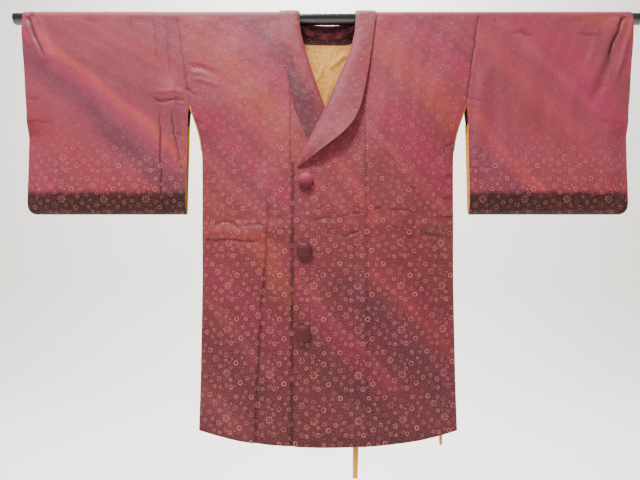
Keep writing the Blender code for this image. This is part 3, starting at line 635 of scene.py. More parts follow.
def dye(panel, x, z):
    """The dyed colour of one panel at places of the front, in amounts of light, with painted shade added."""
    kind = "sleeve" if panel.startswith("sleeve") else "body"
    x0, z0 = x, z
    top, middle, foot = (linear(DYES[name]) for name in PLAIN[kind])
    middle_z, foot_z = (0.30, 0.39) if kind == "sleeve" else (0.45, 0.88)
    colour = mix(top, middle, soft(-z, 0.05, middle_z)[..., None])
    colour = mix(colour, foot, 0.75 * soft(-z, middle_z, foot_z)[..., None])
    x = x + 0.003 * np.sin(z * 37 + x * 13)
    z = z + 0.003 * np.sin(x * 43 - z * 11)
    for name, width, strength, path in BANDS[panel]:
        away = nearest(path, x, z)[0]
        share = strength * (1 - soft(away, 0.0, width / 1000))
        colour = mix(colour, linear(DYES[name]), share[..., None])
    # Painted shade in the bottom of sharp creases.
    colour = colour * (1 - CREASE_SHADE_DARKNESS * painted_crease_shade(x0, z0))[..., None]
    if kind == "sleeve":
        # Painted shade on the sleeve's turned-under foot.
        wavy = 0.0012 * np.sin(x0 * 97) + 0.0008 * np.sin(x0 * 231)
        in_shaded_band = soft(-z0 + wavy, *SHADED_FOOT_BAND)[..., None]
        return colour * mix(1.0, FOOT_BAND_SHADE, in_shaded_band)
    # Painted shade: the body darkens towards its foot, as the light falls off downwards, and more at the hem.
    colour = colour * mix(1.0, BODY_FOOT_SHADE, soft(-z0, 0.20, 0.85))[..., None]
    return colour * mix(1.0, HEM_SHADE, soft(-z0, 0.850, FRONT_HEM))[..., None]


WRONG_SIDE = linear((92, 30, 42))


def figure_strength(z, foot):
    """How strongly the woven figures show: fainter near the shoulders, clear near the foot."""
    return 0.66 + 0.34 * soft(-z, 0.05, 0.75 * foot)


print("a coral band reads", np.round(linear(DYES["coral"]), 3))


# %% [markdown]
# Each piece of cloth is one closed wall: an outer and an inner grid of points, joined round the rim. That
# gives the folded edges a real thickness, which catches the light. Solidify would do the same for one sheet,
# but here the collar's wall turns back on itself, so both of its faces are laid out in code.

# %% Make a wall
def quad_faces(rows, columns, tube):
    """The faces of a closed wall, as rows of four point numbers. A tube's columns go round."""
    number = np.arange(rows * columns).reshape(rows, columns)
    inner = rows * columns
    here = number if tube else number[:, :-1]
    there = np.roll(number, -1, axis=1) if tube else number[:, 1:]
    sheet = np.stack([here[:-1], there[:-1], there[1:], here[1:]], axis=-1).reshape(-1, 4)
    faces = [sheet, sheet[:, ::-1] + inner]
    faces.append(np.stack([there[0], here[0], here[0] + inner, there[0] + inner], axis=-1))
    faces.append(np.stack([here[-1], there[-1], there[-1] + inner, here[-1] + inner], axis=-1))
    if not tube:
        first, last = number[:, 0], number[:, -1]
        faces.append(np.stack([first[:-1], first[1:], first[1:] + inner, first[:-1] + inner], axis=-1))
        faces.append(np.stack([last[1:], last[:-1], last[:-1] + inner, last[1:] + inner], axis=-1))
    return np.concatenate(faces)


def facing_out(points, faces):
    """The faces, turned round where the wall they close would be inside out."""
    a, b, c, d = (points[faces[:, corner]] for corner in range(4))
    volume = (a * np.cross(b, c)).sum() + (a * np.cross(c, d)).sum()
    return faces if volume > 0 else faces[:, ::-1]


# %% Give the wall its flat places and its colours
def paint(mesh, colour, figure):
    """Stores a colour, dyed and with painted shade, and a strength of the woven figures at every point."""
    dyed = mesh.color_attributes.new("dye", "FLOAT_COLOR", "POINT")
    dyed.data.foreach_set("color", np.concatenate([colour, np.ones((len(colour), 1))], axis=1).ravel())
    drawn = mesh.attributes.new("figure", "FLOAT", "POINT")
    drawn.data.foreach_set("value", np.ascontiguousarray(figure).ravel())


def unfold(mesh, flat, around=0.0):
    """Stores the flat place of every corner as a UV map, and closes the seam of a tube."""
    corner = np.zeros(len(mesh.loops), dtype=np.int32)
    mesh.loops.foreach_get("vertex_index", corner)
    places = flat[corner].reshape(-1, 4, 2)
    if around:
        low, high = places[..., 1].min(axis=1), places[..., 1].max(axis=1)
        split = (high - low > around / 2)[:, None] & (places[..., 1] < ((low + high) / 2)[:, None])
        places[..., 1] += split * around
    layer = mesh.uv_layers.new(name="cloth")
    layer.data.foreach_set("uv", places.ravel())


SHARP_EDGE = math.radians(50)


def add_wall(name, outer, inner, flat, colour=(1.0, 1.0, 1.0), figure=0.0, around=0.0, under=None):
    """A closed wall from two grids of points, with the flat place, colour and figure strength of each."""
    rows, columns = outer.shape[:2]
    points = np.concatenate([outer.reshape(-1, 3), inner.reshape(-1, 3)])
    faces = facing_out(points, quad_faces(rows, columns, around > 0))
    mesh = bpy.data.meshes.new(name)
    mesh.from_pydata(points.tolist(), [], faces.tolist())
    mesh.shade_smooth()
    mesh.set_sharp_from_angle(angle=SHARP_EDGE)
    flat = np.broadcast_to(flat, (rows, columns, 2)).reshape(-1, 2)
    unfold(mesh, np.concatenate([flat, flat]), around)
    colour = np.broadcast_to(colour, (rows, columns, 3)).reshape(-1, 3)
    figure = np.broadcast_to(figure, (rows, columns)).reshape(-1)
    under = colour if under is None else np.broadcast_to(under, colour.shape)
    paint(mesh, np.concatenate([colour, under]), np.concatenate([figure, figure]))
    piece = bpy.data.objects.new(name, mesh)
    bpy.context.collection.objects.link(piece)
    return piece


# %% Say what each sheet was cut to
NARROWEST_CUT = 0.0102


def flat_size(flat):
    """The width, length and area of a flat piece, from its grid of flat places."""
    across = flat[1:, 1:] - flat[:-1, :-1]
    down = flat[1:, :-1] - flat[:-1, 1:]
    area = 0.5 * np.abs(across[..., 0] * down[..., 1] - across[..., 1] * down[..., 0]).sum()
    width, length = np.ptp(flat[..., 0]), np.ptp(flat[..., 1])
    return float(width), float(length), float(area)


def declare(piece, node, flat):
    """The piece rides on the coat and stands for its CAD node, which is hidden; the size of its cut is
    printed.
    """
    width, length, area = flat_size(flat)
    width = max(width, NARROWEST_CUT)
    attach(piece, "root")
    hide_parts(node)
    count = sum(len(face.vertices) - 2 for face in piece.data.polygons)
    size = f"{width * 1000:.0f} x {length * 1000:.0f} mm, {area:.4f} m2"
    print(f"{piece.name}: {count} triangles, cut {size}")


# %% [markdown]
# A body panel is one long strip: it runs from the front hem up over the shoulder and down to the back hem,
# with the neckline cut out of its inner edge. Its rows of points are close together in front, where the
# creases are fine, and wider apart behind.

# %% Edges of the body panels
def overlap_seam(side, z):
    """The overlap panel's outer edge: it slants to a tip under the collar."""
    tip = curve(ROLL_LINE[side], -OVERLAP_TIP) + COLLAR_STAND + OVERLAP_TIP_WIDTH
    return mix(OVERLAP_SEAM, tip, soft(z, -OVERLAP_SLANT_STARTS, -OVERLAP_TIP))


def panel_inner_edge(side, length):
    """The x of a body panel's inner edge: the overlap seam, the neckline, then the centre back seam."""
    z = height_at(length)
    drop = np.clip(-z / NECK_BACK_DROP, 0, 1)
    behind = np.maximum(SEAM_SHOWS, NECK_HALF_WIDTH * np.sqrt(1 - drop * drop))
    beside_collar = curve(ROLL_LINE[side], z) + COLLAR_STAND + SEAM_GAP
    front = np.where(z > -OVERLAP_TIP, beside_collar, overlap_seam(side, z) + SEAM_GAP)
    return np.where(length > QUARTER, behind, front)


def hem_curve(x, z, is_front):
    """Heights near the hem, raised towards the side seams as the hem is."""
    share = (np.abs(x) / HEM_HALF_WIDTH) ** 2.5
    front = HEM_RISE_AT_SIDES * share * soft(-z, FRONT_HEM - HEM_CURVE_REACH, FRONT_HEM)
    back = BACK_HEM_RISE_AT_SIDES * share * soft(-z, BACK_HEM - HEM_CURVE_REACH, BACK_HEM)
    return z + np.where(is_front, front, back)


# %% Make the body panels
FRONT_STEP = 0.003
BACK_STEP = 0.0065
PANEL_COLUMNS = 64


def front_heights(top, foot=-FRONT_HEM, step=FRONT_STEP):
    return np.linspace(foot, top, max(2, round((top - foot) / step)))


def add_body_panel(side):
    over = QUARTER * np.linspace(-1, 1, 15)
    neck = QUARTER + NECK_BACK_DROP * np.sin(np.radians(np.arange(5, 91, 5)))
    back = QUARTER + np.arange(NECK_BACK_DROP + 0.004, BACK_HEM, BACK_STEP)
    back_end = np.array([QUARTER + BACK_HEM])
    length = np.concatenate([front_heights(-0.003) - QUARTER, over, neck, back, back_end])[:, None]
    share = np.linspace(0, 1, PANEL_COLUMNS)[None, :]
    z = height_at(length)
    x = mix(panel_inner_edge(side, length), half_width(z), share)
    is_front = np.broadcast_to(length < 0, x.shape)
    bent = hem_curve(x, z, is_front) - z
    length = length + np.where(is_front, bent, -bent)
    flat = np.stack([SIGN[side] * x, length], axis=-1)
    world_x = SIGN[side] * x
    z = height_at(length)
    front_dye = dye(f"front_{side}", world_x, z)
    back_dye = dye(f"front_{OTHER[side]}", *turned_round(world_x, z))
    colour = np.where(is_front[..., None], front_dye, back_dye)
    outer, inner = lay(side, x, length, CLOTH), lay(side, x, length, 0.0)
    figure = figure_strength(z, 0.80)
    piece = add_wall(f"silk_body_{side}", outer, inner, flat, colour, figure, under=WRONG_SIDE)
    declare(piece, f"body_{side}", flat)
    return piece


silk_pieces = [add_body_panel(side) for side in ("left", "right")]


# %% [markdown]
# The overlap panel is a narrow strip sewn to the front's inner edge, so that the two fronts cross. The left
# one lies on top and carries the buttons. It runs from the hem to a slanted tip under the collar.

# %% Make the overlap panels
def front_edge(side, z):
    """The x of an overlap panel's inner edge: the front edge, then beside the collar's roll line."""
    beside_collar = curve(ROLL_LINE[side], z) + COLLAR_STAND + SEAM_GAP
    return np.where(z < -0.336, FRONT_EDGE, np.maximum(FRONT_EDGE, beside_collar))


def add_overlap_panel(side, step, columns):
    z = front_heights(-OVERLAP_TIP, step=step)[:, None]
    seam = overlap_seam(side, z) + SEAM_GAP - SEAM_SHOWS
    x = mix(front_edge(side, z), seam, np.linspace(0, 1, columns)[None, :])
    z = hem_curve(x, np.broadcast_to(z, x.shape), True)
    length = z - QUARTER
    flat = np.stack([SIGN[side] * x, length], axis=-1)
    colour = dye(f"front_{side}", SIGN[side] * x, z)
    outer, inner = lay(side, x, length, CLOTH), lay(side, x, length, 0.0)
    piece = add_wall(f"silk_overlap_{side}", outer, inner, flat, colour, figure_strength(z, 0.80))
    declare(piece, f"overlap_{side}", flat)
    return piece


silk_pieces.append(add_overlap_panel("left", FRONT_STEP, 49))
silk_pieces.append(add_overlap_panel("right", 0.006, 25))


# %% [markdown]
# The shawl collar is one long strip, folded along its roll line: the stand is sewn to the neckline, and the
# leaf falls outside it. Each half is a wall that goes up the stand, round the roll, and down the leaf. Real
# collars are softly stuffed with interlining, so the leaf is puffed up a little between its two edges.

# %% Where the collar's seam, roll and outer edge lie
FOLD_OUTER = CLOTH + LAYER_GAP / 2
FOLD_INNER = LAYER_GAP / 2


def collar_stations(side):
    """Three lines along the collar, each as x and length, then the outer edge's lift and the puff."""
    length = np.concatenate([front_heights(-0.003, -0.333) - QUARTER, QUARTER * np.linspace(-1, 1, 13)])
    z = height_at(length)
    roll_x, edge_x = curve(ROLL_LINE[side], z), curve(COLLAR_OUTER_EDGE[side], z)
    stand = np.minimum(COLLAR_STAND, 0.7 * (edge_x - roll_x))
    turn = np.radians(np.arange(5, 91, 5))
    fall, reach = np.sin(turn), np.cos(turn)
    joined = np.concatenate
    seam = joined([roll_x + stand, (NECK_HALF_WIDTH - SEAM_GAP) * reach])
    seam_length = joined([length, QUARTER + (NECK_BACK_DROP - SEAM_GAP) * fall])
    roll = joined([roll_x, ROLL_HALF_WIDTH * reach])
    roll_length = joined([length, QUARTER + ROLL_BACK_DROP * fall])
    edge = joined([edge_x, COLLAR_HALF_WIDTH * reach])
    edge_length = joined([length, QUARTER + COLLAR_BACK_DROP * fall])
    lift = joined([curve(COLLAR_LIFT[side], z), 0.0010 * fall + 0.0006])
    puff = joined([curve(COLLAR_PUFF[side], z), 0.0012 + 0.0012 * fall])
    return (seam, seam_length), (roll, roll_length), (edge, edge_length), lift, puff


# %% Make the collar halves
def stand_crumple(side, x, share, behind):
    """The crumpled hanging band inside the neck, on the stand behind the wearer."""
    band = soft(share, 0.30, 0.42) * (1 - soft(share, 0.68, 0.80))
    uneven = 1 + 0.35 * np.sin(SIGN[side] * x * 260 + 1) + 0.2 * np.sin(SIGN[side] * x * 610 + share * 9)
    return -0.0021 * band * uneven * behind


def run_along(points, axis=0):
    """How far each point lies along its line of points."""
    steps = np.linalg.norm(np.diff(points, axis=axis), axis=-1)
    start = np.zeros_like(np.take(steps, [0], axis=axis))
    return np.concatenate([start, np.cumsum(steps, axis=axis)], axis=axis)


def add_collar_half(side):
    seam, roll, edge, lift, puff = collar_stations(side)
    is_behind = seam[1] > QUARTER
    width = np.hypot(edge[0] - roll[0], edge[1] - roll[1])
    columns = [("stand", share) for share in np.linspace(1, 0.12, 12)]
    columns += [("turn", math.radians(angle)) for angle in range(-90, 91, 20)]
    columns += [("leaf", share) for share in np.linspace(0.035, 1.0, 24)]
    sheets = []
    for is_outer in (True, False):
        grid = []
        for kind, value in columns:
            if kind == "stand":
                start, end, share = roll, seam, value
                out = 0.0 if is_outer else CLOTH
                out = out + stand_crumple(side, seam[0], share, is_behind)
            elif kind == "turn":
                radius = FOLD_OUTER if is_outer else FOLD_INNER
                start, end = roll, edge
                share = (FOLD_OUTER - radius * math.cos(value)) / width
                out = FOLD_OUTER + radius * math.sin(value) + 0 * width
            else:
                start, end = roll, edge
                first = FOLD_OUTER / width
                share = first + (1 - first) * value
                out = CLOTH + LAYER_GAP + lift * share**1.6 + puff * np.sin(math.pi * value**0.55)
                out = out + (CLOTH if is_outer else 0.0)
            x = mix(start[0], end[0], share)
            x = np.where(is_behind, np.maximum(x, SEAM_SHOWS), x)
            grid.append(lay(side, x, mix(start[1], end[1], share), out))
        sheets.append(np.stack(grid, axis=1))
    outer, inner = sheets
    run, reach = run_along(outer[:, 20]), run_along(outer, axis=1)
    flat = np.stack([SIGN[side] * reach, np.broadcast_to(run[:, None], reach.shape)], axis=-1)
    world_x, z = outer[..., 0], outer[..., 2]
    # Painted shade: the collar's dye is darkened to 0.70, to make up for the extra light the collar catches as
    # it faces up.
    colour = 0.70 * dye(f"collar_{side}", world_x, np.minimum(z, 0))
    # Inside the neck, the stand behind is painted dark maroon as painted shadow from the rod and the neck,
    # with a painted highlight on its crumpled band.
    is_stand = np.array([kind == "stand" for kind, _ in columns])[None, :, None] & is_behind[:, None, None]
    share = np.array([value for _, value in columns])[None, :]
    band = soft(share, 0.36, 0.46) * (1 - soft(share, 0.66, 0.76))
    band = band * (0.55 + 0.45 * np.sin(world_x * 190 + share * 5))
    stand_shadow_and_highlight = mix(linear((84, 26, 36)), linear((186, 78, 98)), band[..., None])
    colour = np.where(is_stand, stand_shadow_and_highlight, colour)
    piece = add_wall(f"silk_collar_{side}", outer, inner, flat, colour, 0.72)
    declare(piece, f"collar_{side}", flat)
    return piece


silk_pieces += [add_collar_half(side) for side in ("left", "right")]


# %% [markdown]
# A kimono sleeve is a flat bag: one strip folded over the shoulder, closed along the bottom and along the
# outer edge below the hand's opening, and left open towards the body. It is a tube of points round the arm,
# with stations from the armhole to the hand.

# %% Edges of the sleeves
def sleeve_inner_edge(z):
    """The armhole seam, and below it the free inner edge."""
    share = np.clip(-z, 0, ARMHOLE_DEPTH) / ARMHOLE_DEPTH
    free = mix(ARMHOLE_FOOT, SLEEVE_INNER_EDGE, soft(-z, ARMHOLE_DEPTH, WRIST_OPENING))
    return np.where(z >= -ARMHOLE_DEPTH, mix(SHOULDER, ARMHOLE_FOOT, share), free) + SEAM_GAP / 2


FRONT_TURN, FRONT, OVER, BACK, BACK_TURN = range(5)


def sleeve_loop(step, back_step):
    """The spots round the bag: their part, and an angle or a height."""
    front = np.arange(-0.385, -0.003, step)
    back = np.arange(-0.004, -0.420, -back_step)
    parts = [
        (FRONT_TURN, np.radians(np.linspace(90, 4, 18))),
        (FRONT, front),
        (OVER, np.radians(np.linspace(-90, 90, 15))),
        (BACK, back),
        (BACK_TURN, np.radians([20, 40, 60, 78])),
    ]
    kind = np.concatenate([np.full(len(values), part) for part, values in parts])
    return kind, np.concatenate([values for _, values in parts])


# %% Lay the sleeve's cloth round the bag
def sleeve_places(side, distance, kind, value, out, creased=True):
    """Places on a sleeve: a distance from its outer edge, or a share of its width, round the bag."""
    by_share, amount = distance
    whole = SLEEVE_OUTER_FOOT - SLEEVE_INNER_EDGE
    end_distance = np.where(by_share, (1 - amount) * whole, amount)
    near_end = np.clip(SLEEVE_CORNER - end_distance, 0, SLEEVE_CORNER)
    bottom = -SLEEVE_DROP + CLOTH + SLEEVE_CORNER - np.sqrt(SLEEVE_CORNER**2 - near_end**2)
    stretch = (bottom + SLEEVE_TURN_HEIGHT) / (CLOTH + SLEEVE_TURN_HEIGHT - SLEEVE_DROP)
    front_foot, back_foot = bottom + SLEEVE_TURN_HEIGHT, bottom + SLEEVE_BACK_TURN_HEIGHT
    hung = np.maximum(value * stretch, np.where(kind == FRONT, front_foot, back_foot))
    turned = front_foot - (SLEEVE_TURN_HEIGHT + out) * np.sin(value)
    back_turned = back_foot - (SLEEVE_BACK_TURN_HEIGHT + out) * np.sin(value)
    parts = [kind == OVER, kind == FRONT_TURN, kind == BACK_TURN]
    level = np.select(parts, [0 * hung, turned, back_turned], hung)
    inner, outer = sleeve_inner_edge(level), curve(SLEEVE_OUTER_EDGE, level)
    x = np.where(by_share, mix(inner, outer, amount), outer - amount)
    near_wrist = soft(x, outer - WRIST_SEAM_REACH, outer - 0.004)
    closed = near_wrist * soft(-level, WRIST_OPENING - 0.010, WRIST_OPENING + 0.035)
    middle = SLEEVE_TURN_MIDDLE * (1 - closed)
    is_front = kind <= FRONT
    lift = relief(SIGN[side] * x, level, is_front) * (1 - closed) if creased else 0 * level
    front = mix(curve(SLEEVE_FRONT, level), SEAM_GAP, closed) + lift
    back = mix(curve(SLEEVE_BACK, level), SEAM_GAP, closed) + lift
    y = np.select(
        [kind == OVER, kind == FRONT_TURN, kind == FRONT, kind == BACK],
        [
            (FOLD_RADIUS + out) * np.sin(value),
            middle - (middle + front + out) * np.cos(value),
            -(front + out),
            back + out,
        ],
        middle + (back - middle + out) * np.cos(value),
    )
    z = np.where(kind == OVER, (FOLD_RADIUS + out) * np.cos(value), level)
    return np.stack([SIGN[side] * x, y, z], axis=-1), level, is_front


# %% Make the sleeves
def sleeve_stations():
    """Stations along the arm: first shares of the width, then distances from the outer edge."""
    shares = np.linspace(0, 0.90, 88)
    ends = np.array([30, 27, 24, 21, 18, 15, 12, 9, 6, 4, 2, 1, 0]) / 1000
    by_share = np.concatenate([np.ones(len(shares), bool), np.zeros(len(ends), bool)])
    return by_share[:, None], np.concatenate([shares, ends])[:, None]


def add_sleeve(side):
    kind, value = sleeve_loop(0.0036, 0.0075)
    kind, value = kind[None, :], value[None, :]
    stations = sleeve_stations()
    outer, level, is_front = sleeve_places(side, stations, kind, value, CLOTH)
    inner = sleeve_places(side, stations, kind, value, 0.0)[0]
    middle = outer[len(outer) // 2]
    run = run_along(middle)
    around = run[-1] + np.linalg.norm(middle[0] - middle[-1])
    run = run - run[np.argmax(middle[:, 2])]
    flat = np.stack([outer[..., 0], np.broadcast_to(run[None, :], level.shape)], axis=-1)
    is_front = np.broadcast_to(is_front, level.shape)
    front_dye = dye(f"sleeve_{side}", outer[..., 0], level)
    back_dye = dye(f"sleeve_{OTHER[side]}", *turned_round(outer[..., 0], level))
    colour = np.where(is_front[..., None], front_dye, back_dye)
    # The figures fade in the painted shade of the sleeve's foot band.
    figure = mix(0.42, 1.0, soft(-level, 0.20, 0.37)) * mix(1.0, 0.78, soft(-level, *SHADED_FOOT_BAND))
    piece = add_wall(f"silk_sleeve_{side}", outer, inner, flat, colour, figure, around=around)
    declare(piece, f"sleeve_{side}", flat)
    return piece


silk_pieces += [add_sleeve(side) for side in ("left", "right")]


# %% [markdown]
# The lining is a warm yellow silk. It shows at the neck, along the slits under the arms, and as a thin edge
# inside each sleeve. It hangs just inside the silk, so it takes the same creases.

# %% Make the linings of the body
NECK_FOLDS = (
    # half width and depth in millimetres, and the line
    (9, 2.4, ((43, -71), (23, -89), (1, -108))),
    (6, 1.8, ((-8, -94), (-14, -117), (-23, -139))),
    (7, 1.4, ((-47, -71), (-30, -99), (-12, -121))),
    (5, 1.2, ((14, -126), (3, -157), (-3, -184))),
)


def neck_folds(x, z):
    """Small soft folds of the lining below the back of the neck."""
    lift = np.zeros(np.shape(x))
    for width, depth, path in NECK_FOLDS:
        away, along = nearest(path, x, z)
        ends = soft(along, 0, 0.2) * (1 - soft(along, 0.8, 1))
        lift += depth / 1000 * (1 - soft(away, 0, width / 1000)) * ends
    return lift


def add_back_lining(side):
    columns = np.concatenate([np.linspace(0, 0.28, 26), np.linspace(0.30, 1.0, 22)])[None, :]
    neck_rows = np.linspace(0, 0.9, 14)[:, None]
    foot = LINING_HEM - BACK_HEM
    start = -0.094
    near_x = columns * half_width(-ARMHOLE_DEPTH)
    drop = np.sqrt(1 - np.clip(near_x / NECK_HALF_WIDTH, 0, 1) ** 7)
    top = -np.maximum(LINING_TOP, (NECK_BACK_DROP - 0.0005) * drop)
    z = mix(top, start, neck_rows)
    fine = np.linspace(start, -0.19, 26)[:, None]
    coarse = np.linspace(-0.20, foot, 70)[:, None]
    z = np.concatenate([z, np.broadcast_to(np.concatenate([fine, coarse]), (96, columns.shape[1]))])
    x = mix(SEAM_SHOWS, half_width(z) * curve(LINING_REACH, z), columns)
    flat = np.stack([SIGN[side] * x, QUARTER - z], axis=-1)
    forward = neck_folds(SIGN[side] * x, z)
    outer = lay(side, x, QUARTER - z, -LINING_GAP - forward)
    inner = lay(side, x, QUARTER - z, -LINING_GAP - LINING - forward)
    piece = add_wall(f"lining_silk_back_{side}", outer, inner, flat)
    declare(piece, f"lining_back_{side}", flat)
    return piece


def add_front_lining(side):
    hung = np.linspace(LINING_HEM + 0.007 - FRONT_HEM, -0.2, 110)
    z = np.concatenate([hung, np.linspace(-0.19, -LINING_TOP, 30)])[:, None]
    start = np.maximum(OVERLAP_SEAM, overlap_seam(side, z)) + 0.002
    x = mix(start, half_width(z) * curve(LINING_REACH, z), np.linspace(0, 1, 30)[None, :])
    z = np.broadcast_to(z, x.shape)
    flat = np.stack([SIGN[side] * x, z - QUARTER], axis=-1)
    outer = lay(side, x, z - QUARTER, -LINING_GAP)
    inner = lay(side, x, z - QUARTER, -LINING_GAP - LINING)
    piece = add_wall(f"lining_silk_front_{side}", outer, inner, flat)
    declare(piece, f"lining_front_{side}", flat)
    return piece


lining_pieces = [add_back_lining(side) for side in ("left", "right")]
lining_pieces += [add_front_lining(side) for side in ("left", "right")]


# %% Make the edgings inside the sleeves
def add_sleeve_edging(side):
    kind, value = sleeve_loop(0.0036, 0.0075)
    is_turn = (kind == FRONT_TURN) | (kind == BACK_TURN)
    keep = is_turn | ((kind != OVER) & (value <= -WRIST_OPENING))
    in_front, behind = np.where(keep & (kind <= FRONT))[0], np.where(keep & (kind >= BACK))[0]
    order = np.concatenate([in_front[::-1], behind[::-1]])
    kind, value = kind[order][None, :], value[order][None, :]
    whole = SLEEVE_OUTER_FOOT - SLEEVE_INNER_EDGE
    shares = np.linspace(-EDGING_SHOWS, EDGING_WIDTH, 9)[:, None] / whole
    shares = shares + (EDGING_TUCKED if side == "right" else 0.0) / whole
    stations = (np.ones(shares.shape, bool), shares)
    outer = sleeve_places(side, stations, kind, value, -LINING_GAP)[0]
    inner = sleeve_places(side, stations, kind, value, -LINING_GAP - LINING)[0]
    run = run_along(outer[4])
    flat = np.stack([outer[..., 0], np.broadcast_to(run[None, :], outer.shape[:2])], axis=-1)
    piece = add_wall(f"lining_silk_sleeve_{side}", outer, inner, flat)
    declare(piece, f"sleeve_edging_{side}", flat)
    return piece


lining_pieces += [add_sleeve_edging(side) for side in ("left", "right")]

# %% [markdown]
# Two tapes of the lining cloth hang inside the front, and their ends show below the hem. Each is a narrow
# wall that sways a little, with a cut end.

# %% Make the ties
TIES = (
    # node, side, x, width, top z, end z, depth of the layers in front of it
    ("tie_centre", "right", -0.053, 0.011, -0.420, -0.953, 0.0),
    ("tie_side", "left", 0.228, 0.007, -0.400, -0.898, LINING + LINING_GAP),
)


def add_tie(node, side, x, width, top, end, covered):
    far_edge = abs(x) + width / 2 if side == "left" else x
    plain = np.array(far_edge)
    front = belly(plain, np.array(top), FRONT_MIDDLE, FRONT_SIDE)
    if side == "right":
        front = front - curve(RIGHT_FRONT_SINK, top) * soft(-x, SINK_STARTS, SINK_FULL)
    front = front - covered - TIE_GAP
    down = np.linspace(0, 1, 120)[:, None]
    across = np.linspace(-0.5, 0.5, 7)[None, :]
    z = mix(top, end, down) + 0 * across
    below = soft(down, 0.86, 1.0)
    world_x = SIGN[side] * x + across * width * (1 - 0.12 * below) + 0.0007 * np.sin(down * 23)
    sway = 0.0004 * np.sin(across * 5 + down * 31) - 0.0016 * below * np.cos(across * 2.6)
    cloth_lift = np.minimum(relief_of_front(world_x + 0 * z, z), 0.0) * (1 - below)
    y = -front - cloth_lift + 0.0012 * below + sway * below
    flat = np.stack([across * width + 0 * z, z], axis=-1)
    outer = np.stack([world_x + 0 * z, y, z], axis=-1)
    inner = np.stack([world_x + 0 * z, y + LINING, z], axis=-1)
    piece = add_wall(f"lining_silk_{node}", outer, inner, flat)
    declare(piece, node, flat)
    return piece


lining_pieces += [add_tie(*row) for row in TIES]


# %% [markdown]
# The buttons are small discs covered with the coat's own silk, domed over a pad and sewn on by a shank. One
# could be turned from a profile, but it is made here as by hand: a short cylinder, whose top face is inset
# and raised three times, and whose under face is inset and pulled down into the shank.

# %% Tools for modelling by hand
def pick_faces(piece, wanted):
    """Selects only the faces that the test wants, in edit mode."""
    bpy.ops.mesh.select_all(action="DESELECT")
    mesh = bmesh.from_edit_mesh(piece.data)
    for face in mesh.faces:
        if wanted(face):
            face.select_set(True)
    bmesh.update_edit_mesh(piece.data)


def inset_and_move(thickness, height):
    """Insets the picked faces and moves them. With no thickness it is an extrude, always in the same order."""
    bpy.ops.mesh.inset(thickness=thickness, depth=0.0)
    bpy.ops.transform.translate(value=(0.0, 0.0, height))


# %% Model one button
BUTTON_RADIUS = 0.0165
BUTTON_SHANK = 0.0016
BUTTON_EDGE = 0.0034
BUTTONS = (
    # node, x, z, colour above, colour below
    ("button_top", -0.0450, -0.3640, "magenta", "maroon"),
    ("button_middle", -0.0475, -0.5070, "maroon", "maroon"),
    ("button_low", -0.0498, -0.6720, "maroon", "maroon"),
)


def model_button(name):
    bpy.ops.object.select_all(action="DESELECT")
    place = (0.0, 0.0, BUTTON_SHANK + BUTTON_EDGE / 2)
    bpy.ops.mesh.primitive_cylinder_add(vertices=32, radius=BUTTON_RADIUS, depth=BUTTON_EDGE, location=place)
    piece = bpy.context.object
    piece.name = name
    bpy.ops.object.transform_apply(location=True, rotation=True, scale=True)
    bpy.ops.object.mode_set(mode="EDIT")
    pick_faces(piece, lambda face: face.normal.z > 0.9)
    for thickness, height in ((0.0022, 0.0020), (0.0042, 0.0019), (0.0046, 0.0010), (0.0034, 0.0002)):
        inset_and_move(thickness, height)
    pick_faces(piece, lambda face: face.normal.z < -0.9)
    inset_and_move(0.0028, -0.0004)
    inset_and_move(0.0080, 0.0)
    inset_and_move(0.0022, -0.0010)
    inset_and_move(0.0, -0.0005)
    bpy.ops.object.mode_set(mode="OBJECT")
    rounding = piece.modifiers.new("rounding", "SUBSURF")
    rounding.levels = 2
    rounding.render_levels = 2
    bpy.ops.object.modifier_apply(modifier="rounding")
    bpy.ops.object.shade_smooth()
    return piece


# %% Sew the buttons on
def sew_on(piece, x, z):
    """Stands the button square on the left front's cloth."""
    here = Vector(lay("left", x, z - QUARTER, CLOTH + LAYER_GAP).tolist())
    step = 0.006
    beside = Vector(lay("left", x + step, z - QUARTER, CLOTH + LAYER_GAP).tolist()) - here
    above = Vector(lay("left", x, z + step - QUARTER, CLOTH + LAYER_GAP).tolist()) - here
    outward = beside.cross(above).normalized()
    piece.rotation_euler = outward.to_track_quat("Z", "Y").to_euler()
    piece.location = here
    bpy.ops.object.transform_apply(location=True, rotation=True, scale=True)


def add_button(node, x, z, upper, lower):
    piece = model_button(f"silk_{node}")
    points = np.array([vertex.co for vertex in piece.data.vertices])
    while piece.data.uv_layers:
        piece.data.uv_layers.remove(piece.data.uv_layers[0])
    corner = np.zeros(len(piece.data.loops), dtype=np.int32)
    piece.data.loops.foreach_get("vertex_index", corner)
    piece.data.uv_layers.new(name="cloth").data.foreach_set("uv", (points[corner][:, :2] + z).ravel())
    sew_on(piece, x, z)
    points = np.array([vertex.co for vertex in piece.data.vertices])
    # The colour goes from the one below to the one above, upwards over the button.
    share = soft(points[:, 2] - z, -0.018, 0.014)[:, None]
    paint(piece.data, mix(linear(DYES[lower]), linear(DYES[upper]), share), np.full(len(points), 0.2))
    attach(piece, "root")
    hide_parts(node)
    size = np.ptp(points, axis=0) * 1000
    print(f"{piece.name}: {size[0]:.1f} x {size[1]:.1f} x {size[2]:.1f} mm")
    return piece


silk_pieces += [add_button(*row) for row in BUTTONS]

# %% [markdown]
# The rod is a steel tube in gloss black paint. A plain cylinder would look like a stand-in, so its ends are
# inset into a shallow plug and their rims are bevelled, as on a rod that stands in a shop.

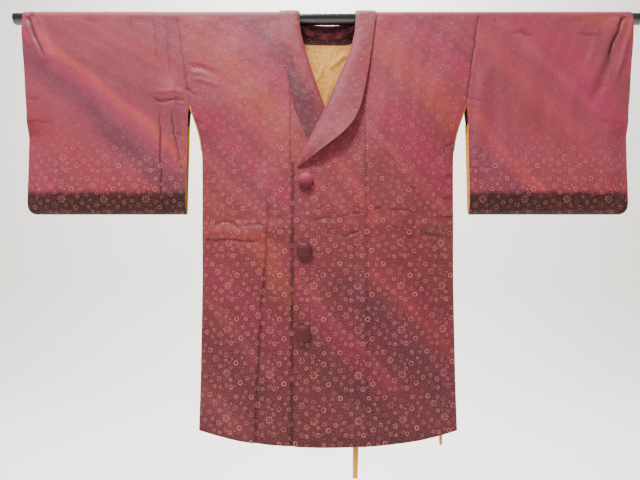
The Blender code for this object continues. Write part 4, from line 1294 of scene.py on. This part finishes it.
# %% Make the rod
bpy.ops.object.select_all(action="DESELECT")
bpy.ops.mesh.primitive_cylinder_add(
    vertices=96, radius=ROD_RADIUS, depth=ROD_LENGTH, rotation=(0.0, math.pi / 2, 0.0)
)
rod = bpy.context.object
rod.name = "hanging_rod"
bpy.ops.object.transform_apply(location=True, rotation=True, scale=True)
bpy.ops.object.mode_set(mode="EDIT")
pick_faces(rod, lambda face: abs(face.normal.x) > 0.9)
bpy.ops.mesh.inset(thickness=0.0022, depth=-0.0012, use_individual=True)
pick_faces(rod, lambda face: abs(face.normal.x) > 0.9 and face.calc_area() < 0.0001 and len(face.verts) == 4)
bpy.ops.mesh.bevel(offset=0.0003, segments=2, affect="EDGES")
bpy.ops.object.mode_set(mode="OBJECT")
bpy.ops.object.shade_smooth_by_angle(angle=math.radians(35))
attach(rod, "root")
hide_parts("rod")
print("rod faces:", len(rod.data.polygons))


# %% [markdown]
# Materials are built from nodes. Writing a tree of Math nodes by hand is slow, so one small class wraps a
# socket: + - * / on it add the Math node, and every other node comes from one method. The patterns are read
# from the flat places of the cloth, so they run with its grain round every fold.

# %% Wrap a socket
class Signal:
    """A socket of a material's nodes. The signs + - * / on it add Math nodes."""

    def __init__(self, tree, socket=None):
        self.tree = tree
        self.socket = socket

    def node(self, kind, settings=None, inputs=None, output=0):
        """Adds a node, sets it up, feeds its sockets, and gives one of its outputs."""
        made = self.tree.nodes.new("ShaderNode" + kind)
        for name, value in (settings or {}).items():
            if name == "stops":
                for stop, (place, colour) in zip(made.color_ramp.elements, value):
                    stop.position = place
                    stop.color = colour
            else:
                setattr(made, name, value)
        for name, value in (inputs or {}).items():
            if isinstance(value, Signal):
                self.tree.links.new(value.socket, made.inputs[name])
            else:
                made.inputs[name].default_value = value
        return Signal(self.tree, made.outputs[output])

    def maths(self, operation, *values):
        return self.node("Math", {"operation": operation}, dict(enumerate(values)))

    def __add__(self, other):
        return self.maths("ADD", self, other)

    def __sub__(self, other):
        return self.maths("SUBTRACT", self, other)

    def __mul__(self, other):
        return self.maths("MULTIPLY", self, other)

    def __truediv__(self, other):
        return self.maths("DIVIDE", self, other)

    def __rsub__(self, other):
        return self.maths("SUBTRACT", other, self)

    __radd__ = __add__
    __rmul__ = __mul__


# %% Helpers that every finish uses
def new_finish(name):
    """An empty material: its shader node and a start for its signals."""
    finish = bpy.data.materials.new(name)
    finish.use_nodes = True
    return finish, finish.node_tree.nodes["Principled BSDF"], Signal(finish.node_tree)


def fade(value, full, none):
    """1 up to one value, 0 from another, and soft between them."""
    limits = {"Value": value, "From Min": full, "From Max": none, "To Min": 1.0, "To Max": 0.0}
    return value.node("MapRange", {"interpolation_type": "SMOOTHSTEP"}, limits)


def blend_colours(factor, first, second, kind="MIX"):
    """Two colours mixed by a factor."""
    return factor.node("Mix", {"data_type": "RGBA", "blend_type": kind}, {0: factor, 6: first, 7: second}, 2)


def noise(start, place, scale, detail=2.0, roughness=0.5):
    inputs = {"Vector": place, "Scale": scale, "Detail": detail, "Roughness": roughness}
    return start.node("TexNoise", {"noise_dimensions": "3D"}, inputs)


def connect(signal, shader, socket):
    signal.tree.links.new(signal.socket, shader.inputs[socket])


# %% [markdown]
# The silk is woven with small rings and flowers, a common kind of all-over figure. One repeat was charted
# in millimetres, and the shader folds the flat cloth into it. A ring is where the distance from its
# middle is close to its radius. Flowers change that radius round the middle.

# %% The chart of one repeat
REPEAT = 88.0
REPEAT_LEFT = -37.5
REPEAT_FOOT = -20.5
RINGS = (
    # x, y, radius, how clear
    (0.0, 0.0, 4.8, 1.0), (-19.5, -10.0, 4.2, 0.9), (-28.5, -6.5, 3.4, 0.5), (14.5, 10.0, 4.0, 0.8),
    (-8.0, 11.5, 4.0, 0.45), (23.5, 27.0, 4.4, 0.5), (-9.5, 38.5, 5.0, 1.0), (-30.5, 53.5, 4.6, 0.5),
    (23.5, 61.5, 4.6, 1.0), (34.5, -9.5, 3.6, 0.6), (12.0, 71.5 - REPEAT, 3.2, 0.5),
    (4.5, 22.0, 3.2, 0.7), (-20.0, 28.5, 3.4, 0.6), (10.0, 38.5, 3.6, 0.75), (-8.5, 60.5, 3.8, 0.85),
    (31.0, 14.0, 3.4, 0.7), (45.0, 31.0, 3.6, 0.8), (44.5, 58.0, 3.4, 0.6), (-20.0, 4.5, 3.2, 0.65),
    (8.5, 60.0, 3.2, 0.55), (46.0, -11.5, 3.4, 0.8), (-31.0, 43.0, 3.0, 0.6), (26.5, 0.5, 3.0, 0.55),
)
DOTS = (
    # x, y, radius, how clear
    (-11.5, -7.0, 1.6, 0.8), (-23.0, 38.0, 2.0, 0.7), (-17.5, 46.0, 1.8, 0.7), (3.0, 49.0, 2.8, 0.6),
    (6.0, 30.0, 1.5, 0.5), (-34.0, 32.0, 1.5, 0.5),
)
FLOWERS = (
    # x, y, radius, petals, how clear
    (-28.5, 17.0, 6.6, 8.0, 0.9), (44.5, 5.5, 4.6, 5.0, 0.8), (36.0, 46.0, 5.4, 6.0, 0.7),
)


# %% Draw the chart with nodes
def fold_into_repeat(start, flat):
    """The flat place in millimetres, folded into one repeat and shaken a little, as dye is."""
    shaken = noise(start, flat, 240.0, 1.0)
    parts = flat.node("SeparateXYZ", {}, {0: flat})
    up = Signal(flat.tree, parts.socket.node.outputs[1])
    x = parts * 1000.0 + (shaken - 0.5) * 2.4 - REPEAT_LEFT
    y = up * 1000.0 - (shaken - 0.5) * 2.4 - REPEAT_FOOT
    x = x.maths("FLOORED_MODULO", x, REPEAT) + REPEAT_LEFT
    y = y.maths("FLOORED_MODULO", y, REPEAT) + REPEAT_FOOT
    return x.node("CombineXYZ", {}, {0: x, 1: y})


def draw_figures(folded):
    """Two masks: where the thread is light, and the darker middles."""
    light, dark = None, None
    for x, y, radius, clear in RINGS:
        away = folded.node("VectorMath", {"operation": "DISTANCE"}, {0: folded, 1: (x, y, 0.0)}, 1)
        ring = fade(away.maths("ABSOLUTE", away - radius * 0.80), 0.25, 1.35) * clear
        middle = fade(away, radius * 0.25, radius * 0.6) * (0.8 * clear)
        light = ring if light is None else light.maths("MAXIMUM", light, ring)
        dark = middle if dark is None else dark.maths("MAXIMUM", dark, middle)
    for x, y, radius, clear in DOTS:
        away = folded.node("VectorMath", {"operation": "DISTANCE"}, {0: folded, 1: (x, y, 0.0)}, 1)
        light = light.maths("MAXIMUM", light, fade(away, radius * 0.4, radius * 1.4) * clear)
    for x, y, radius, petals, clear in FLOWERS:
        arm = folded.node("VectorMath", {"operation": "SUBTRACT"}, {0: folded, 1: (x, y, 0.0)})
        away = arm.node("VectorMath", {"operation": "LENGTH"}, {0: arm}, 1)
        parts = arm.node("SeparateXYZ", {}, {0: arm})
        up = Signal(arm.tree, parts.socket.node.outputs[1])
        turn = parts.maths("ARCTAN2", up, parts)
        petal = radius + turn.maths("COSINE", turn * petals) * (0.30 * radius)
        edge = away / petal
        light = light.maths("MAXIMUM", light, fade(edge.maths("ABSOLUTE", edge - 0.84), 0.06, 0.26) * clear)
        light = light.maths("MAXIMUM", light, fade(away, 0.5, 1.5) * (0.8 * clear))
    return light, dark


# %% Make the silk
SILK_LIGHT = 0.385


def make_silk():
    finish, shader, start = new_finish("dyed silk")
    flat = start.node("UVMap", {"uv_map": "cloth"})
    # The colour attribute holds the dye with its painted shade.
    dyed = start.node("Attribute", {"attribute_name": "dye"})
    drawn = start.node("Attribute", {"attribute_name": "figure"}, output=2)
    light, dark = draw_figures(fold_into_repeat(start, flat))
    patchy = fade(noise(start, flat, 60.0, 1.0), 0.62, 0.30)
    light = light * drawn * (0.40 + patchy * 0.60)
    speckle = noise(start, flat, 430.0, 3.0, 0.75)
    cloudy = noise(start, flat, 26.0, 3.0, 0.6)
    specks = fade(noise(start, flat, 520.0, 0.0), 0.72, 0.60)
    light = light.maths("MAXIMUM", light, specks * 0.34)
    shade = (speckle - 0.5) * 2.2 + (cloudy - 0.5) * 0.30 + 1.0
    shade = shade * SILK_LIGHT
    toned = dyed.node("VectorMath", {"operation": "SCALE"}, {0: dyed, "Scale": shade})
    pale = (*(linear((250, 150, 140)) * SILK_LIGHT), 1.0)
    deep = (*(linear((84, 26, 38)) * SILK_LIGHT), 1.0)
    colour = blend_colours(dark * drawn * 0.45, toned, deep)
    colour = blend_colours(light * drawn * 0.86, colour, pale)
    connect(colour, shader, "Base Color")
    grain = noise(start, flat, 900.0, 1.0)
    connect(0.50 + grain * 0.16 - light * 0.06, shader, "Roughness")
    crepe = noise(start, flat, 620.0, 2.0, 0.6)
    height = crepe * 0.55 + light * 0.35 + noise(start, flat, 90.0, 2.0) * 0.9
    bump = start.node("Bump", {}, {"Strength": 0.55, "Distance": 0.0011, "Height": height})
    connect(bump, shader, "Normal")
    shader.inputs["Sheen Weight"].default_value = 0.05
    shader.inputs["Sheen Roughness"].default_value = 0.45
    shader.inputs["Specular IOR Level"].default_value = 0.22
    return finish


silk = make_silk()
for piece in silk_pieces:
    piece.data.materials.clear()
    piece.data.materials.append(silk)
print("silk nodes:", len(silk.node_tree.nodes))


# %% [markdown]
# The lining is plain woven silk: the same yellow everywhere, a little deeper where threads are thick, with a
# fine weave in the bump. The rod's paint is smooth and glossy, with faint waves and a little dust.

# %% Make the lining silk and the paint
def make_lining():
    finish, shader, start = new_finish("yellow lining")
    flat = start.node("UVMap", {"uv_map": "cloth"})
    slub = noise(start, flat, 160.0, 3.0, 0.6)
    cloudy = noise(start, flat, 18.0, 2.0)
    amount = fade(slub * 0.6 + cloudy * 0.4, 0.35, 0.65)
    pale = (*linear((212, 150, 10)), 1.0)
    deep = (*linear((164, 102, 4)), 1.0)
    connect(blend_colours(amount, pale, deep), shader, "Base Color")
    connect(0.52 + slub * 0.18, shader, "Roughness")
    wave = {"Vector": flat, "Scale": 420.0, "Distortion": 0.6, "Detail": 1.0}
    weave = start.node("TexWave", {"wave_type": "BANDS", "bands_direction": "Y"}, wave, 1)
    bump = start.node("Bump", {}, {"Strength": 0.5, "Distance": 0.0006, "Height": weave * 0.4 + slub})
    connect(bump, shader, "Normal")
    shader.inputs["Sheen Weight"].default_value = 0.02
    return finish


def make_paint():
    finish, shader, start = new_finish("gloss black paint")
    place = start.node("TexCoord", output=3)
    dust = noise(start, place, 140.0, 4.0, 0.7)
    dusty = fade(dust, 0.72, 0.52)
    black = (*linear((14, 14, 16)), 1.0)
    grey = (*linear((58, 57, 56)), 1.0)
    connect(blend_colours(dusty * 0.25, black, grey), shader, "Base Color")
    connect(0.20 + dusty * 0.18, shader, "Roughness")
    bump = start.node("Bump", {}, {"Strength": 0.25, "Distance": 0.0004, "Height": noise(start, place, 30.0)})
    connect(bump, shader, "Normal")
    shader.inputs["Coat Weight"].default_value = 0.4
    return finish


for finish, pieces in ((make_lining(), lining_pieces), (make_paint(), [rod])):
    for piece in pieces:
        piece.data.materials.clear()
        piece.data.materials.append(finish)
    print(finish.name, "on", len(pieces), "pieces")

# %% [markdown]
# The studio is plain: a pale floor that curves up behind the coat, a pale sky as a soft fill, one lamp high
# in front, a weak one behind, and one on the wall. A high lamp grazes the cloth, so that even shallow
# creases show, and it leaves the undersides of the sleeves dark.

# %% Floor and world
FLOOR = -1.40
SWEEP = 0.8
WALL = 3.4
HALF_SPAN = 40.0
profile = [(-HALF_SPAN, FLOOR)]
for angle in np.radians(range(0, 91, 6)):
    profile.append((WALL - SWEEP + SWEEP * math.sin(angle), FLOOR + SWEEP - SWEEP * math.cos(angle)))
profile += [(WALL, 6.0)]
corners = [(x, y, z) for y, z in profile for x in (-HALF_SPAN, HALF_SPAN)]
tiles = [(2 * step, 2 * step + 1, 2 * step + 3, 2 * step + 2) for step in range(len(profile) - 1)]
floor_mesh = bpy.data.meshes.new("floor")
floor_mesh.from_pydata(corners, [], tiles)
floor_mesh.shade_smooth()
floor = bpy.data.objects.new("floor", floor_mesh)
bpy.context.collection.objects.link(floor)
floor_finish, floor_shader, floor_start = new_finish("pale floor")
floor_place = floor_start.node("TexCoord", output=3)
floor_cloud = noise(floor_start, floor_place, 1.5)
connect(
    blend_colours(floor_cloud, (0.84, 0.83, 0.80, 1.0), (0.87, 0.86, 0.83, 1.0)), floor_shader, "Base Color"
)
floor_shader.inputs["Roughness"].default_value = 0.8
floor.data.materials.append(floor_finish)

world = bpy.data.worlds.new("pale studio")
world.use_nodes = True
world.node_tree.nodes["Background"].inputs["Color"].default_value = (0.90, 0.885, 0.85, 1.0)
world.node_tree.nodes["Background"].inputs["Strength"].default_value = 0.62
bpy.context.scene.world = world


# %% Lamps
def add_lamp(name, place, target, size, power, colour):
    """A square soft lamp that looks at a target."""
    lamp = bpy.data.lights.new(name, "AREA")
    lamp.shape = "SQUARE"
    lamp.size = size
    lamp.energy = power
    lamp.color = colour
    holder = bpy.data.objects.new(name, lamp)
    holder.location = place
    holder.rotation_euler = (Vector(target) - Vector(place)).to_track_quat("-Z", "Y").to_euler()
    bpy.context.collection.objects.link(holder)


add_lamp("high lamp", (-0.75, -1.35, 2.60), (0.0, 0.0, -0.40), 0.8, 350.0, (1.0, 0.965, 0.92))
add_lamp("back lamp", (0.6, 2.0, 2.2), (0.0, 0.0, -0.4), 1.6, 70.0, (1.0, 0.97, 0.94))
add_lamp("wall lamp", (0.0, 1.2, 3.6), (0.0, 3.4, 0.0), 2.4, 420.0, (1.0, 0.985, 0.96))

# %% [markdown]
# The camera stands a metre in front, a little below the coat's middle, and looks up slightly. Its lens is
# 27 mm on a 36 mm wide sensor, which makes a 640 by 480 picture of the whole coat.

# %% Camera
lens = bpy.data.cameras.new("camera")
lens.lens = 27.0
lens.sensor_width = 36.0
camera = bpy.data.objects.new("camera", lens)
camera.location = (-0.0164, -1.005, -0.5618)
camera.rotation_euler = (math.radians(94.5), 0.0, 0.0)
bpy.context.collection.objects.link(camera)
bpy.context.scene.camera = camera
